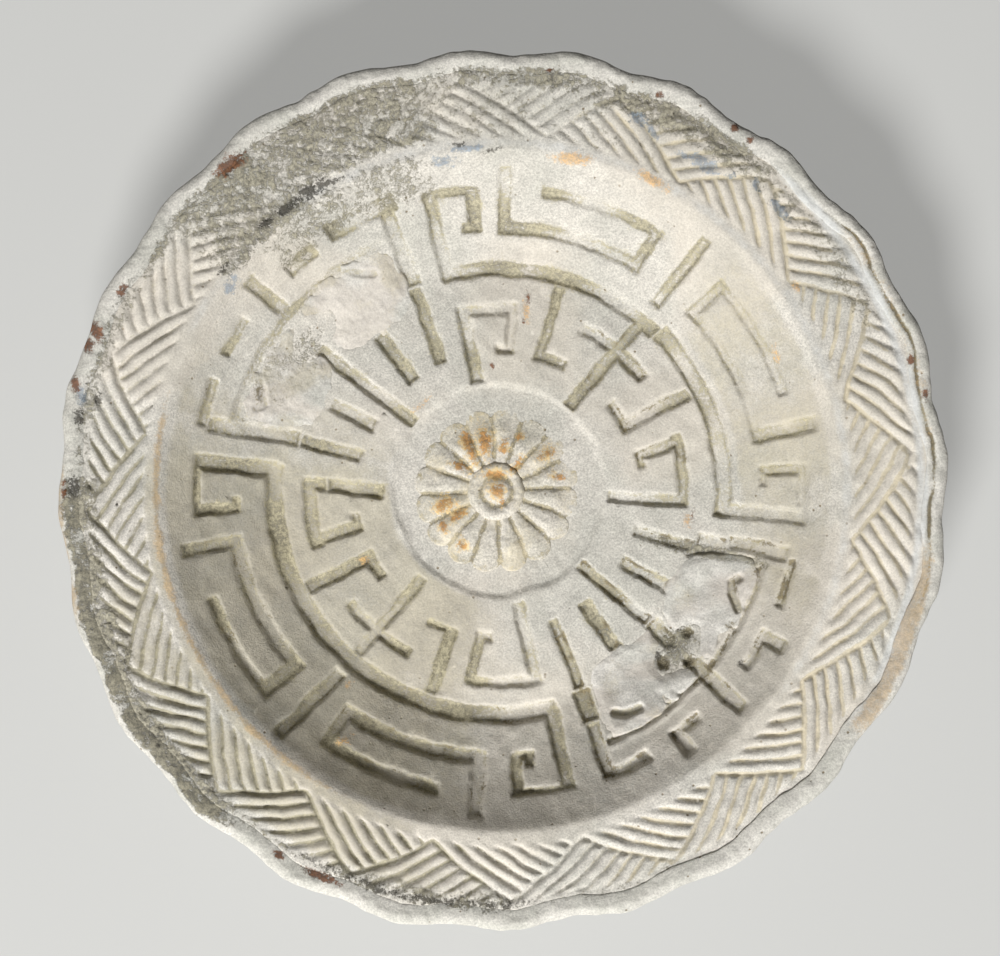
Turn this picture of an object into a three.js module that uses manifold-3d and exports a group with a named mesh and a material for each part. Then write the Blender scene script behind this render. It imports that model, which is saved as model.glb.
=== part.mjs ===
// A moulded ceramic dish with a scalloped lip, a petalled rosette in a sunk medallion, a pressed
// fret on its floor and wall, and two butterfly-like motifs.
// Millimetres, +Z up. The dish stands on its foot ring at z = 0, and its box is centred on x = y = 0.
import * as THREE from 'three';
import { mergeVertices } from 'three/addons/utils/BufferGeometryUtils.js';
import Module from 'manifold-3d';

const wasm = await Module();
wasm.setup();

// Driving dimensions of the whole dish
const RIM_RADIUS = 79.9; // mean radius to the outside of the lip
const WELL_RADIUS = 61.5; // where the wall meets the flange
const FLOOR_RADIUS = 38.5; // where the floor starts to turn up into the wall
const FLOOR_HEIGHT = 10.0; // top of the floor above the table
const FOOT_HEIGHT = 6.0; // underside of the floor above the table
const WALL_THICKNESS = 3.8;

// Slopes of the wall and flange, in degrees from level
const WALL_FOOT_SLOPE = 24;
const WALL_TOP_SLOPE = 42;
const WALL_FOOT_RADIUS = 43.0; // the wall has turned up to its lower slope here
const FLANGE_SLOPE = 6;

// Medallion and rosette
const MEDALLION_RADIUS = 19.9;
const MEDALLION_SINK = 0.7;
const PETALS = 16;
const ROSETTE_RADIUS = 14.9;
const ROSETTE_TURN = 284.25; // direction of one petal's middle
const PETAL_CROWN = 1.25; // height of a petal above the medallion
const PETAL_GROOVE = 0.4; // height left between two petals
const ROSETTE_OFFSET = { x: -0.49, y: -0.23 }; // the flower was stuck a little off the dish's axis
const BOSS_RADIUS = 5.3;
const BOSS_SEAT = 0.7; // height above the medallion at which the boss sits

// Lip and channel
const CHANNEL_RADIUS = 75.2;
const CHANNEL_DEPTH = 0.4;
const LIP_SEAT_INNER = 75.9;
const LIP_SEAT_OUTER = 79.3;
const LIP_RISE = 2.5; // crest of the lip above its seat

// Fret of the floor and wall. Its grooves run out from the middle, as rails, or round it, as bars.
const GROOVE_WIDTH = 2.8;
const BAR_WIDTH = 2.3;
const RAIL_DEPTH = 0.7;
const BAR_DEPTH = 0.8;
const GROOVE_DRAFT = 0.35; // how much narrower each side of a groove is at its bottom
const KEYS = [49.8, 228.6]; // directions of the two key frets' spokes
const RING_RADIUS = 41.8;
const RING_WIDTH = 3.4;

// Butterfly wings, angles in degrees measured from the spoke between the two wings
const SPOKES = { right: 318, left: 140 };
const WING_START = 3;
const WING_END = 24;
const WING_STEP = 1.75;
const WING_SCALLOP = 7; // angle that one scallop of a wing's outer edge takes up
const WING_THICKNESS = 0.9;
const WING_INNER_RADIUS = 36.0;
const WING_OUTER_RADIUS = 50.3;
const SLIP_GAP = 0.3; // thickness of the slip that holds a pad on the wall

const ROUND_STEPS = 96; // steps round the dish, four to a scallop
const PETAL_STEPS = 4;
const BAR_STEP = 10; // largest angle of one step of a bar

// The lip is pinched by hand, so its 24 scallops come out deeper on one side and the whole outline
// is a little out of round. Each wave has its number of crests, its height and its turn.
const EDGE_WAVES = [
  { crests: 24, height: 0.51, turn: -84 },
  { crests: 23, height: 0.23, turn: -103 },
  { crests: 25, height: 0.18, turn: 129 },
  { crests: 8, height: 0.32, turn: 127 },
  { crests: 3, height: 0.3, turn: 0 },
  { crests: 2, height: 0.52, turn: -32 },
  { crests: 1, height: 0.47, turn: -16 },
];
const WAVE_START = 68; // the waves fade in from here
const WAVE_FULL = 78; // and have their full height from here outwards

const rad = THREE.MathUtils.degToRad;

function clayMaterial(colour, roughness) {
  return new THREE.MeshStandardMaterial({ color: colour, roughness, metalness: 0 });
}

function edgeWave(angle) {
  return EDGE_WAVES.reduce((sum, w) => sum + w.height * Math.cos(w.crests * angle + rad(w.turn)), 0);
}

// Points of a section that turns smoothly from one slope to another while it runs out to a radius.
function bend(start, slopeStart, slopeEnd, radiusEnd, steps) {
  const curve = (radiusEnd - start.x) / (Math.sin(rad(slopeEnd)) - Math.sin(rad(slopeStart)));
  const points = [];
  for (let i = 1; i <= steps; i++) {
    const slope = rad(slopeStart + ((slopeEnd - slopeStart) * i) / steps);
    const x = start.x + curve * (Math.sin(slope) - Math.sin(rad(slopeStart)));
    const y = start.y + curve * (Math.cos(rad(slopeStart)) - Math.cos(slope));
    points.push(new THREE.Vector2(x, y));
  }
  return points;
}

// The same line moved by the wall's thickness, square to its slope.
function underside(slope, point) {
  const x = point.x + WALL_THICKNESS * Math.sin(rad(slope));
  const y = point.y - WALL_THICKNESS * Math.cos(rad(slope));
  return new THREE.Vector2(x, y);
}

const v = (x, y) => new THREE.Vector2(x, y);

// Inside of the wall: a tight turn at the floor, then a long, nearly straight sweep to the flange.
const floorEdge = v(FLOOR_RADIUS, FLOOR_HEIGHT);
const wallTurn = bend(floorEdge, 0, WALL_FOOT_SLOPE, WALL_FOOT_RADIUS, 2);
const wallFoot = wallTurn[wallTurn.length - 1];
const wallSweep = bend(wallFoot, WALL_FOOT_SLOPE, WALL_TOP_SLOPE, WELL_RADIUS, 4);
const wellEdge = wallSweep[wallSweep.length - 1];
const wallLine = [v(0, FLOOR_HEIGHT), floorEdge, ...wallTurn, ...wallSweep];

function wallHeight(radius) {
  const i = wallLine.findIndex((p) => p.x >= radius);
  const a = wallLine[i - 1];
  const b = wallLine[i];
  return THREE.MathUtils.mapLinear(radius, a.x, b.x, a.y, b.y);
}

function flangeHeight(radius) {
  return wellEdge.y + 0.3 + (radius - WELL_RADIUS) * Math.tan(rad(FLANGE_SLOPE));
}

const lipSeat = flangeHeight(CHANNEL_RADIUS) - CHANNEL_DEPTH;

// Turns a section round the dish's axis.
function turned(section, steps = ROUND_STEPS) {
  const geometry = new THREE.LatheGeometry(section, steps);
  geometry.rotateX(Math.PI / 2);
  return welded(geometry);
}

function welded(geometry) {
  geometry.deleteAttribute('normal');
  geometry.deleteAttribute('uv');
  return mergeVertices(geometry, 1e-5);
}

function moveVertices(geometry, move) {
  const position = geometry.attributes.position;
  const point = new THREE.Vector3();
  for (let i = 0; i < position.count; i++) {
    point.fromBufferAttribute(position, i);
    move(point);
    position.setXYZ(i, point.x, point.y, point.z);
  }
  return geometry;
}

// Pushes a vertex in or out with the scallops of the lip, the more the nearer it is to the edge.
function scallop(point) {
  const radius = Math.hypot(point.x, point.y);
  const reach = THREE.MathUtils.smoothstep(radius, WAVE_START, WAVE_FULL);
  if (reach === 0) return;
  const scale = 1 + (reach * edgeWave(Math.atan2(point.y, point.x))) / radius;
  point.x *= scale;
  point.y *= scale;
}

function dishBody() {
  const underWall = wallSweep.map((p, i) => {
    const slope = WALL_FOOT_SLOPE + ((WALL_TOP_SLOPE - WALL_FOOT_SLOPE) * (i + 1)) / wallSweep.length;
    return underside(slope, p);
  });
  const medallionHeight = FLOOR_HEIGHT - MEDALLION_SINK;
  const flangeUnderInner = v(WELL_RADIUS + 5, flangeHeight(WELL_RADIUS + 5) - WALL_THICKNESS + 0.2);
  const flangeUnderOuter = v(RIM_RADIUS - 2.4, flangeHeight(RIM_RADIUS - 2.4) - WALL_THICKNESS + 0.9);
  const section = [
    v(0, FOOT_HEIGHT),
    v(WALL_FOOT_RADIUS + 0.6, FOOT_HEIGHT),
    underside(WALL_FOOT_SLOPE, wallFoot),
    ...underWall,
    flangeUnderInner,
    flangeUnderOuter,
    v(RIM_RADIUS - 0.6, lipSeat - 1.1),
    v(LIP_SEAT_OUTER, lipSeat),
    v(LIP_SEAT_INNER, lipSeat),
    v(CHANNEL_RADIUS, lipSeat + 0.05),
    v(CHANNEL_RADIUS - 0.8, flangeHeight(CHANNEL_RADIUS - 0.8)),
    v(WELL_RADIUS + 0.7, flangeHeight(WELL_RADIUS + 0.7)),
    ...[...wallLine].reverse().slice(0, -1),
    v(MEDALLION_RADIUS + 0.25, FLOOR_HEIGHT),
    v(MEDALLION_RADIUS - 0.25, medallionHeight),
    v(0, medallionHeight),
  ];
  return cutFret(moveVertices(turned(section), scallop));
}

// A closed solid between a lower and an upper sheet of points, each a grid of columns and rows.
function slab(columns, rows, lower, upper) {
  const points = [];
  const faces = [];
  for (const sheet of [lower, upper]) {
    for (let i = 0; i < columns; i++) {
      for (let j = 0; j < rows; j++) points.push(sheet(i, j));
    }
  }
  const at = (side, i, j) => side * columns * rows + i * rows + j;
  const quad = (a, b, c, d) => faces.push(a, b, c, a, c, d);
  for (let i = 0; i + 1 < columns; i++) {
    for (let j = 0; j + 1 < rows; j++) {
      quad(at(0, i, j), at(0, i + 1, j), at(0, i + 1, j + 1), at(0, i, j + 1));
      quad(at(1, i, j), at(1, i, j + 1), at(1, i + 1, j + 1), at(1, i + 1, j));
    }
    quad(at(0, i, 0), at(1, i, 0), at(1, i + 1, 0), at(0, i + 1, 0));
    quad(at(0, i + 1, rows - 1), at(1, i + 1, rows - 1), at(1, i, rows - 1), at(0, i, rows - 1));
  }
  for (let j = 0; j + 1 < rows; j++) {
    quad(at(0, 0, j + 1), at(1, 0, j + 1), at(1, 0, j), at(0, 0, j));
    quad(at(0, columns - 1, j), at(1, columns - 1, j), at(1, columns - 1, j + 1), at(0, columns - 1, j + 1));
  }
  const geometry = new THREE.BufferGeometry();
  geometry.setFromPoints(points);
  geometry.setIndex(faces);
  return geometry;
}

// A point on the wall at an angle in degrees, moved sideways along the ring and lifted.
function onWall(angle, radius, lift, aside = 0) {
  const out = new THREE.Vector3(Math.cos(rad(angle)), Math.sin(rad(angle)), 0);
  const along = new THREE.Vector3(-out.y, out.x, 0);
  return out
    .multiplyScalar(radius)
    .addScaledVector(along, aside)
    .setZ(wallHeight(radius) + lift);
}

// How far a groove's side stands in from its edge, by height over the clay.
const drafted = (lift, depth) => (-lift * GROOVE_DRAFT) / depth;

// A straight groove that runs outwards, with parallel sides.
function rail(angle, start, end, width = GROOVE_WIDTH) {
  const turns = wallLine.map((p) => p.x).filter((x) => x > start + 1 && x < end - 1);
  const radii = [start, ...turns, end];
  const sheet = (lift) => (i, j) => {
    const inset = drafted(lift, RAIL_DEPTH);
    const radius = THREE.MathUtils.clamp(radii[j], start + inset, end - inset);
    return onWall(angle, radius, lift, (i - 0.5) * (width - 2 * inset));
  };
  return slab(2, radii.length, sheet(-RAIL_DEPTH), sheet(1));
}

// A groove that runs round at one radius, between two directions.
function bar(from, to, radius, width = BAR_WIDTH) {
  const [low, high] = [Math.min(from, to), Math.max(from, to)];
  const columns = Math.ceil((high - low) / BAR_STEP) + 1;
  const sheet = (lift) => (i, j) => {
    const inset = drafted(lift, BAR_DEPTH);
    const turn = THREE.MathUtils.radToDeg(inset / radius);
    const angle = THREE.MathUtils.lerp(low + turn, high - turn, i / (columns - 1));
    return onWall(angle, radius + (j - 0.5) * (width - 2 * inset), lift);
  };
  return slab(columns, 2, sheet(-BAR_DEPTH), sheet(1));
}

// On the floor: a spoke with a crossbar and a hook on each side of it.
function floorKey(spoke) {
  const hook = (side) => [
    rail(spoke + 22.6 * side, 25.4, 41),
    bar(spoke + 24.4 * side, spoke + 11.4 * side, 26.4),
  ];
  return [rail(spoke, 20.9, 41), bar(spoke - 12.6, spoke + 13, 34.2, 2.6), ...hook(1), ...hook(-1)];
}

// On the floor, between a key and a butterfly: a stem that turns in on itself once.
function floorSpiral(stem, side) {
  return [
    rail(stem, 20.9, 35.4),
    bar(stem - 1.9 * side, stem + 20.6 * side, 34.2),
    rail(stem + 18 * side, 25.8, 35.4, 2.5),
    bar(stem + 18.9 * side, stem + 10.6 * side, 26.9),
  ];
}

// On the wall, on each side of an outer spoke: an open stem that folds round a long tongue.
function wallSpiral(spoke, side) {
  return [
    rail(spoke + 38 * side, 47.8, 59.4),
    bar(spoke + 39.7 * side, spoke + 6.4 * side, 49.1, 2.6),
    rail(spoke + 7.9 * side, 47.8, 56.8),
    bar(spoke + 6.4 * side, spoke + 31 * side, 55.7),
  ];
}

// On the wall, beside a butterfly: a stem from the ring groove that turns in on itself.
function smallSpiral(stem, side) {
  return [
    rail(stem, 40.8, 56.5, 3),
    bar(stem - 1.6 * side, stem + 10.4 * side, 55.5, 2),
    rail(stem + 9.2 * side, 48, 56.3, 2.5),
    bar(stem + 10.4 * side, stem + 5.6 * side, 49, 2),
  ];
}

// Stems and outlines of a butterfly, in front of, behind and beside its wings.
function butterfly(spoke) {
  const half = (side) => [
    rail(spoke + 12 * side, 25.8, 36.8),
    rail(spoke + 26 * side, 25.8, 55.4),
    bar(spoke + 5.8 * side, spoke + 13.8 * side, 55.6),
    bar(spoke + 18 * side, spoke + 27.3 * side, 55.6),
  ];
  return [
    rail(spoke, 20.9, 42.8),
    rail(spoke, 50, 60, 3.1),
    bar(spoke - 25.5, spoke + 25.5, 50.5, 1.7),
    ...half(1),
    ...half(-1),
  ];
}

function solidOf(geometry) {
  const vertProperties = geometry.attributes.position.array;
  const triVerts = new Uint32Array(geometry.index.array);
  return new wasm.Manifold(new wasm.Mesh({ numProp: 3, vertProperties, triVerts }));
}

// Cuts every groove of the fret out of the dish.
function cutFret(geometry) {
  const grooves = [
    ...KEYS.flatMap(floorKey),
    ...KEYS.map((spoke) => rail(spoke, 44.5, 60)),
    ...KEYS.flatMap((spoke) => [wallSpiral(spoke, 1), wallSpiral(spoke, -1)]).flat(),
    ...[356.5, 178.6].flatMap((stem) => floorSpiral(stem, 1)),
    ...[101.3, 280.5].flatMap((stem) => floorSpiral(stem, -1)),
    ...[355, 174.7].flatMap((stem) => smallSpiral(stem, 1)),
    ...[103.4, 283.3].flatMap((stem) => smallSpiral(stem, -1)),
    bar(353, 465.3, RING_RADIUS, RING_WIDTH),
    bar(173, 285, RING_RADIUS, RING_WIDTH),
    ...Object.values(SPOKES).flatMap(butterfly),
  ];
  const cut = grooves.reduce((body, groove) => body.subtract(solidOf(groove)), solidOf(geometry));
  const mesh = cut.getMesh();
  const result = new THREE.BufferGeometry();
  result.setAttribute('position', new THREE.BufferAttribute(mesh.vertProperties, 3));
  result.setIndex(new THREE.BufferAttribute(mesh.triVerts, 1));
  return result;
}

function footRing() {
  const section = [
    v(37.0, FOOT_HEIGHT),
    v(37.5, 0.9),
    v(38.3, 0),
    v(40.8, 0),
    v(41.8, 1.0),
    v(43.2, FOOT_HEIGHT),
    v(37.0, FOOT_HEIGHT),
  ];
  return turned(section, 72);
}

// A rolled bead, flat where it sits on the flange and pinched into scallops with it.
function lipCoil() {
  const section = [
    v(LIP_SEAT_INNER + 0.3, lipSeat),
    v(LIP_SEAT_OUTER, lipSeat),
    v(RIM_RADIUS, lipSeat + 1.0),
    v(RIM_RADIUS - 0.5, lipSeat + 2.1),
    v(RIM_RADIUS - 1.4, lipSeat + LIP_RISE),
    v(RIM_RADIUS - 2.3, lipSeat + 2.0),
    v(RIM_RADIUS - 3.3, lipSeat + 0.9),
    v(LIP_SEAT_INNER + 0.3, lipSeat),
  ];
  return moveVertices(turned(section), scallop);
}

// The pressed flower. Each petal is a long drop: narrow at the boss, crowned across, round at its
// tip, with a groove between it and the next.
function rosette() {
  const base = FLOOR_HEIGHT - MEDALLION_SINK;
  const seat = base + BOSS_SEAT;
  const alongPetal = [0, 0.3, 0.75, 0.93, 1];
  const rise = [0.55, 0.95, 1.0, 0.7, 0.25];
  const innerRadius = BOSS_RADIUS + 0.2;
  const length = ROSETTE_RADIUS - innerRadius;
  const section = [
    v(0, base),
    v(ROSETTE_RADIUS, base),
    ...alongPetal.map((t, i) => v(innerRadius + t * length, base + rise[i])).reverse(),
    v(innerRadius - 0.4, seat),
    v(0, seat),
  ];
  const geometry = turned(section, PETALS * PETAL_STEPS);
  geometry.rotateZ(rad(ROSETTE_TURN));
  return moveVertices(geometry, (point) => {
    const radius = Math.hypot(point.x, point.y);
    if (radius < innerRadius - 0.1) return;
    const turn = THREE.MathUtils.euclideanModulo(
      THREE.MathUtils.radToDeg(Math.atan2(point.y, point.x)) - ROSETTE_TURN + 180 / PETALS,
      360 / PETALS,
    );
    const across = Math.abs((turn * PETALS) / 180 - 1);
    const t = (radius - innerRadius) / length;
    const scale = 1 - 0.085 * t ** 3 * across ** 3;
    point.x *= scale;
    point.y *= scale;
    if (point.z > base) {
      const crown = Math.sqrt(Math.max(0, 1 - across ** 2));
      const lift = THREE.MathUtils.lerp(PETAL_GROOVE, PETAL_CROWN, crown);
      point.z = base + (point.z - base) * lift;
    }
  });
}

function rosetteBoss() {
  const seat = FLOOR_HEIGHT - MEDALLION_SINK + BOSS_SEAT;
  const section = [
    v(0, seat),
    v(BOSS_RADIUS - 0.5, seat),
    v(BOSS_RADIUS - 0.4, seat + 0.5),
    v(BOSS_RADIUS - 0.9, seat + 0.85),
    v(3.5, seat + 0.85),
    v(2.8, seat + 0.4),
    v(2.1, seat + 0.95),
    v(1.2, seat + 1.25),
    v(0, seat + 1.35),
  ];
  return turned(section, 36);
}

// One wing of a butterfly: a thin pad that lies on the turn of the wall. Its inner edge is one
// round sweep, and its outer edge has three shallow scallops and drops towards the spoke.
function wing(spoke, side) {
  const columns = (WING_END - WING_START) / WING_STEP + 1;
  const rows = 5;
  const edge = (i, j) => i === 0 || i === columns - 1 || j === 0 || j === rows - 1;
  const place = (i, j, lift) => {
    const away = WING_START + WING_STEP * i;
    const sweep = (away - 12) / 12;
    const inner = WING_INNER_RADIUS + 4.2 * sweep ** 2;
    const nearSpoke = Math.max(0, 9 - away) / 6;
    const notch = Math.abs(Math.cos((Math.PI * (away - WING_START)) / WING_SCALLOP));
    const outer = WING_OUTER_RADIUS - 3.6 * nearSpoke ** 2 - 1.3 * notch ** 3;
    return onWall(spoke + side * away, THREE.MathUtils.lerp(inner, outer, j / (rows - 1)), lift);
  };
  const column = (i) => (side > 0 ? i : columns - 1 - i);
  const lower = (i, j) => place(column(i), j, SLIP_GAP);
  const upper = (i, j) => {
    const c = column(i);
    return place(c, j, SLIP_GAP + WING_THICKNESS * (edge(c, j) ? 0.5 : 1));
  };
  return slab(columns, rows, lower, upper);
}

const dish = new THREE.Group();

function add(name, geometry, colour, roughness) {
  const mesh = new THREE.Mesh(geometry, clayMaterial(colour, roughness));
  mesh.name = name;
  dish.add(mesh);
}

add('dish_body', dishBody(), 0xc3bfb2, 0.9);
add('foot_ring', footRing(), 0xb8b2a2, 0.92);
add('lip_coil', lipCoil(), 0xbbb9af, 0.88);
const offset = [ROSETTE_OFFSET.x, ROSETTE_OFFSET.y, 0];
add('rosette', rosette().translate(...offset), 0xc7c0af, 0.9);
add('rosette_boss', rosetteBoss().translate(...offset), 0xc9bda6, 0.9);
add('butterfly_right_upper_wing', wing(SPOKES.right, 1), 0xc9c8c0, 0.85);
add('butterfly_right_lower_wing', wing(SPOKES.right, -1), 0xc9c8c0, 0.85);
add('butterfly_left_upper_wing', wing(SPOKES.left, -1), 0xc9c8c0, 0.85);
add('butterfly_left_lower_wing', wing(SPOKES.left, 1), 0xc9c8c0, 0.85);

// The hand-pinched edge is not even, so the group is moved to put its box on the middle.
const box = new THREE.Box3().setFromObject(dish);
const middle = box.getCenter(new THREE.Vector3());
dish.position.set(-middle.x, -middle.y, 0);

export default dish;
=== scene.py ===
import math

import bpy
import numpy as np
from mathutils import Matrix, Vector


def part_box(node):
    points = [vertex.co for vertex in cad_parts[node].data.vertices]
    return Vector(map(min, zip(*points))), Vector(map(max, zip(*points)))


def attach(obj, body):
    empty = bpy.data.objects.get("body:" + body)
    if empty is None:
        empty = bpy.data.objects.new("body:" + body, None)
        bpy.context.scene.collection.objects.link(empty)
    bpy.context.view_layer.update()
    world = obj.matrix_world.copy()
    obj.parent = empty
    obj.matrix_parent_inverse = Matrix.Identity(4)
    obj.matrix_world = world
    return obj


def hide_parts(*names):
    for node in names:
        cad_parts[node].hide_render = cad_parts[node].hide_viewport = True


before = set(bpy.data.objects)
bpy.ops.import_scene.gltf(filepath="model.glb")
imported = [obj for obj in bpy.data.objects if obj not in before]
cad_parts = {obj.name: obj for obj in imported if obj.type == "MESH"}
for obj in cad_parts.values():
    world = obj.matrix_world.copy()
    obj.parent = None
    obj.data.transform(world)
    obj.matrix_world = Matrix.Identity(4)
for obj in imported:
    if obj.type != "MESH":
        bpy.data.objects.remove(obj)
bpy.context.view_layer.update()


# The dish is one sheet of pale earthenware clay, pressed over a mould that was cut with the fret
# of the floor and wall and the slanting bars of the flange, and fired without a glaze. The other
# pieces of clay are stuck to it with slip. Lengths are in millimetres, angles in degrees.
MM = 0.001
foot_low, foot_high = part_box("foot_ring")
AXIS = ((foot_low + foot_high) / 2 / MM).to_2d()
FLOOR_HEIGHT = 10.0
UNDERSIDE_HEIGHT = 6.0
FLOOR_RADIUS = 38.5
WALL_FOOT_RADIUS = 43.0
WELL_RADIUS = 61.5
RIM_RADIUS = 79.9
WALL_FOOT_SLOPE = 24
WALL_TOP_SLOPE = 42
FLANGE_SLOPE = 6
WALL_THICKNESS = 3.8
MEDALLION_RADIUS = 19.9
MEDALLION_SINK = 0.65
CHANNEL_RADIUS = 75.2
LIP_SEAT_INNER = 75.9
LIP_SEAT_OUTER = 79.3
GROOVE_DEPTH = 0.92
GROOVE_DRAFT = 0.9
GROOVE_CORNER = 0.55
# waves of the pinched edge: crests round the dish, height and turn of each
EDGE_WAVES = [
    (24, 0.51, -84), (23, 0.23, -103), (25, 0.18, 129), (8, 0.32, 127), (3, 0.30, 0),
    (2, 0.52, -32), (1, 0.47, -16),
]  # fmt: skip
WAVE_START = 68
WAVE_FULL = 78
COLUMNS = 1536
RING_STEP = 0.3
DISH_TRIANGLES = 196000


def swing(radius, start, end, low, high, height):
    """Height of a section that swings evenly from one slope to another between two radii."""
    low, high = math.radians(low), math.radians(high)
    curve = (end - start) / (math.sin(high) - math.sin(low))
    slope = np.arcsin(np.clip(math.sin(low) + (radius - start) / curve, -1, 1))
    return height + curve * (math.cos(low) - np.cos(slope))


def turn_up_height(radius):
    return swing(radius, FLOOR_RADIUS, WALL_FOOT_RADIUS, 0, WALL_FOOT_SLOPE, FLOOR_HEIGHT)


WALL_FOOT_HEIGHT = float(turn_up_height(WALL_FOOT_RADIUS))


def wall_height(radius):
    slopes = (WALL_FOOT_SLOPE, WALL_TOP_SLOPE)
    return swing(radius, WALL_FOOT_RADIUS, WELL_RADIUS, *slopes, WALL_FOOT_HEIGHT)


WELL_EDGE_HEIGHT = float(wall_height(WELL_RADIUS))


def flange_height(radius):
    return WELL_EDGE_HEIGHT + 0.3 + (radius - WELL_RADIUS) * math.tan(math.radians(FLANGE_SLOPE))


LIP_SEAT = flange_height(CHANNEL_RADIUS) - 0.4


def plain_height(radius):
    """The inside of the dish before anything is pressed into it."""
    flange = flange_height(radius)
    height = np.where(radius < WALL_FOOT_RADIUS, turn_up_height(radius), wall_height(radius))
    height = np.where(radius < FLOOR_RADIUS, FLOOR_HEIGHT, height)
    # the edge of the well is rounded over where wall and flange meet
    apart = np.where(radius > WELL_RADIUS + 3, 9.0, height - flange)
    soft = 0.5
    met = np.minimum(height, flange) - np.maximum(soft - np.abs(apart), 0) ** 2 / (4 * soft)
    return np.where(radius < WELL_RADIUS - 6, height, met)


def polar(x, y):
    """Direction in degrees and distance from the dish's axis."""
    return np.degrees(np.arctan2(y, x)), np.hypot(x, y)


def place_at(turn, radius):
    return radius * np.cos(np.radians(turn)), radius * np.sin(np.radians(turn))


def ease(value, low, high):
    """0 below low, 1 above high, and a smooth step between them."""
    step = np.clip((value - low) / (high - low), 0, 1)
    return step * step * (3 - 2 * step)


def unevenness(x, y, seed, shortest, longest):
    """Seeded ups and downs of hand-pressed clay, mostly between -1 and 1."""
    rng = np.random.default_rng(seed)
    waves = 32
    total = np.zeros(np.shape(x))
    for _ in range(waves):
        turn, phase = rng.uniform(0, 2 * math.pi, 2)
        length = shortest * (longest / shortest) ** rng.uniform(0, 1)
        along = x * math.cos(turn) + y * math.sin(turn)
        total += np.sin(2 * math.pi * along / length + phase)
    return total / math.sqrt(waves)


def edge_wave(turn):
    """How far the hand-pinched edge stands out from a true circle."""
    return sum(h * np.cos(np.radians(n * turn + t)) for n, h, t in EDGE_WAVES)


def on_wavy_edge(turn, radius):
    """A radius of the true circle, moved out as far as the wavy edge takes it."""
    return radius + ease(radius, WAVE_START, WAVE_FULL) * edge_wave(turn)


# Each groove of the fret is a rail that runs out from the middle or a bar that runs round it.
fret = []


def rail(turn, radius_in, radius_out, width=2.9, turn_out=None):
    fret.append((turn, radius_in, turn if turn_out is None else turn_out, radius_out, width))


def bar(radius_in, radius_out, turn_from, turn_to):
    middle = (radius_in + radius_out) / 2
    fret.append((turn_from, middle, turn_to, middle, radius_out - radius_in))


# on the floor: the upper right spoke, its crossbar and its two hooks
rail(50.2, 19.7, 41.3, turn_out=49.5)
bar(32.6, 35.3, 37.5, 63.5)
rail(27, 40.0, 25.3)
bar(25.3, 27.3, 25, 38.5)
rail(73.2, 39.6, 24.9, 2.3)
bar(24.9, 27.3, 61, 75.2)
# the same round the lower left spoke
rail(229, 21.4, 40.9, 2.7)
bar(33.5, 35.9, 216.5, 242)
rail(207.3, 40.5, 25.9, 2.8)
bar(25.9, 28.3, 205, 217.6)
rail(251.5, 40.2, 27.0, 2.7)
bar(27.0, 28.5, 241, 252.5)
# four spirals on the floor
rail(356.5, 20.1, 35.5, 2.5)
bar(33.1, 35.5, 354.5, 378)
rail(15.5, 35.3, 25.9, 2.6, turn_out=13.5)
bar(25.9, 27.9, 7.8, 16)
rail(101.3, 20.1, 35.0)
bar(32.4, 35.0, 84, 103.5)
rail(85.8, 34.8, 25.3, 2.2)
bar(25.3, 27.3, 84, 91.5)
rail(180.5, 21.4, 32.0, turn_out=178.3)
rail(178.3, 32.0, 36.7)
bar(33.7, 36.8, 176, 198)
rail(195.3, 36.7, 26.0, 2.7, turn_out=194.5)
bar(26.0, 28.1, 188.3, 197)
rail(279.7, 21.0, 37.0, 2.7, turn_out=281.3)
bar(34.8, 37.0, 260, 283.5)
rail(261, 36.8, 26.2, 2.4, turn_out=263)
bar(26.2, 28.3, 261.5, 268)
# antennae and side stems of the left butterfly
rail(141.5, 19.7, 42.7, 2.8, turn_out=142)
rail(127.7, 25.5, 36.7)
rail(152.8, 25.7, 35.3)
rail(114, 25.7, 40.9, 2.6, turn_out=112.3)
rail(112.3, 40.9, 55.0, 3.2, turn_out=112)
rail(166.2, 26.0, 38.1, 2.8, turn_out=165.8)
rail(165.8, 38.1, 55.0, 3.3, turn_out=167.3)
# and of the right one
rail(317.5, 20.1, 37.2, 2.6, turn_out=318.9)
rail(318.9, 37.2, 43.1, 3.3, turn_out=318.5)
rail(306.7, 26.0, 36.8)
rail(330, 26.0, 36.7, 2.8)
rail(292.5, 25.7, 40.0, 2.4, turn_out=292.3)
rail(292.3, 40.0, 46.3, 3.6, turn_out=291.8)
rail(291.8, 46.3, 56.7, turn_out=291)
rail(343.6, 26.0, 37.8, 2.55)
bar(37.8, 43.6, 340, 348.5)
rail(341.5, 36.5, 49.0, 1.8, turn_out=344.6)
rail(347.4, 43.6, 54.6, 3.0)
# ring groove between floor and wall, broken by the butterflies
bar(40.0, 43.6, 353, 405)
bar(39.6, 42.7, 45, 105.3)
bar(40.0, 43.6, 173, 285)
# wall frets on both sides of the two outer spokes
rail(50, 44.5, 59.7, 2.8, turn_out=50.3)
rail(11.9, 59.3, 47.5, 3.2)
bar(47.5, 49.8, 10, 44)
rail(42.4, 47.5, 56.3, 2.8)
bar(54.1, 56.3, 18.3, 44)
rail(58.5, 56.3, 47.2, 2.6)
bar(54.1, 56.3, 57, 82)
bar(47.2, 50.0, 57, 90.5)
rail(88.8, 47.3, 59.2, 3.0)
rail(229, 44.5, 60.3, 3.0, turn_out=227.8)
rail(190.9, 59.2, 48.0)
bar(48.0, 51.0, 189.3, 222.5)
rail(220.5, 48.4, 57.5, 3.4)
bar(55.0, 57.3, 200, 222)
rail(235.8, 57.0, 48.0)
bar(54.5, 57.0, 234.5, 259)
bar(48.0, 51.0, 235, 267.5)
rail(265.8, 48.4, 60.0, 3.2)
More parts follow.
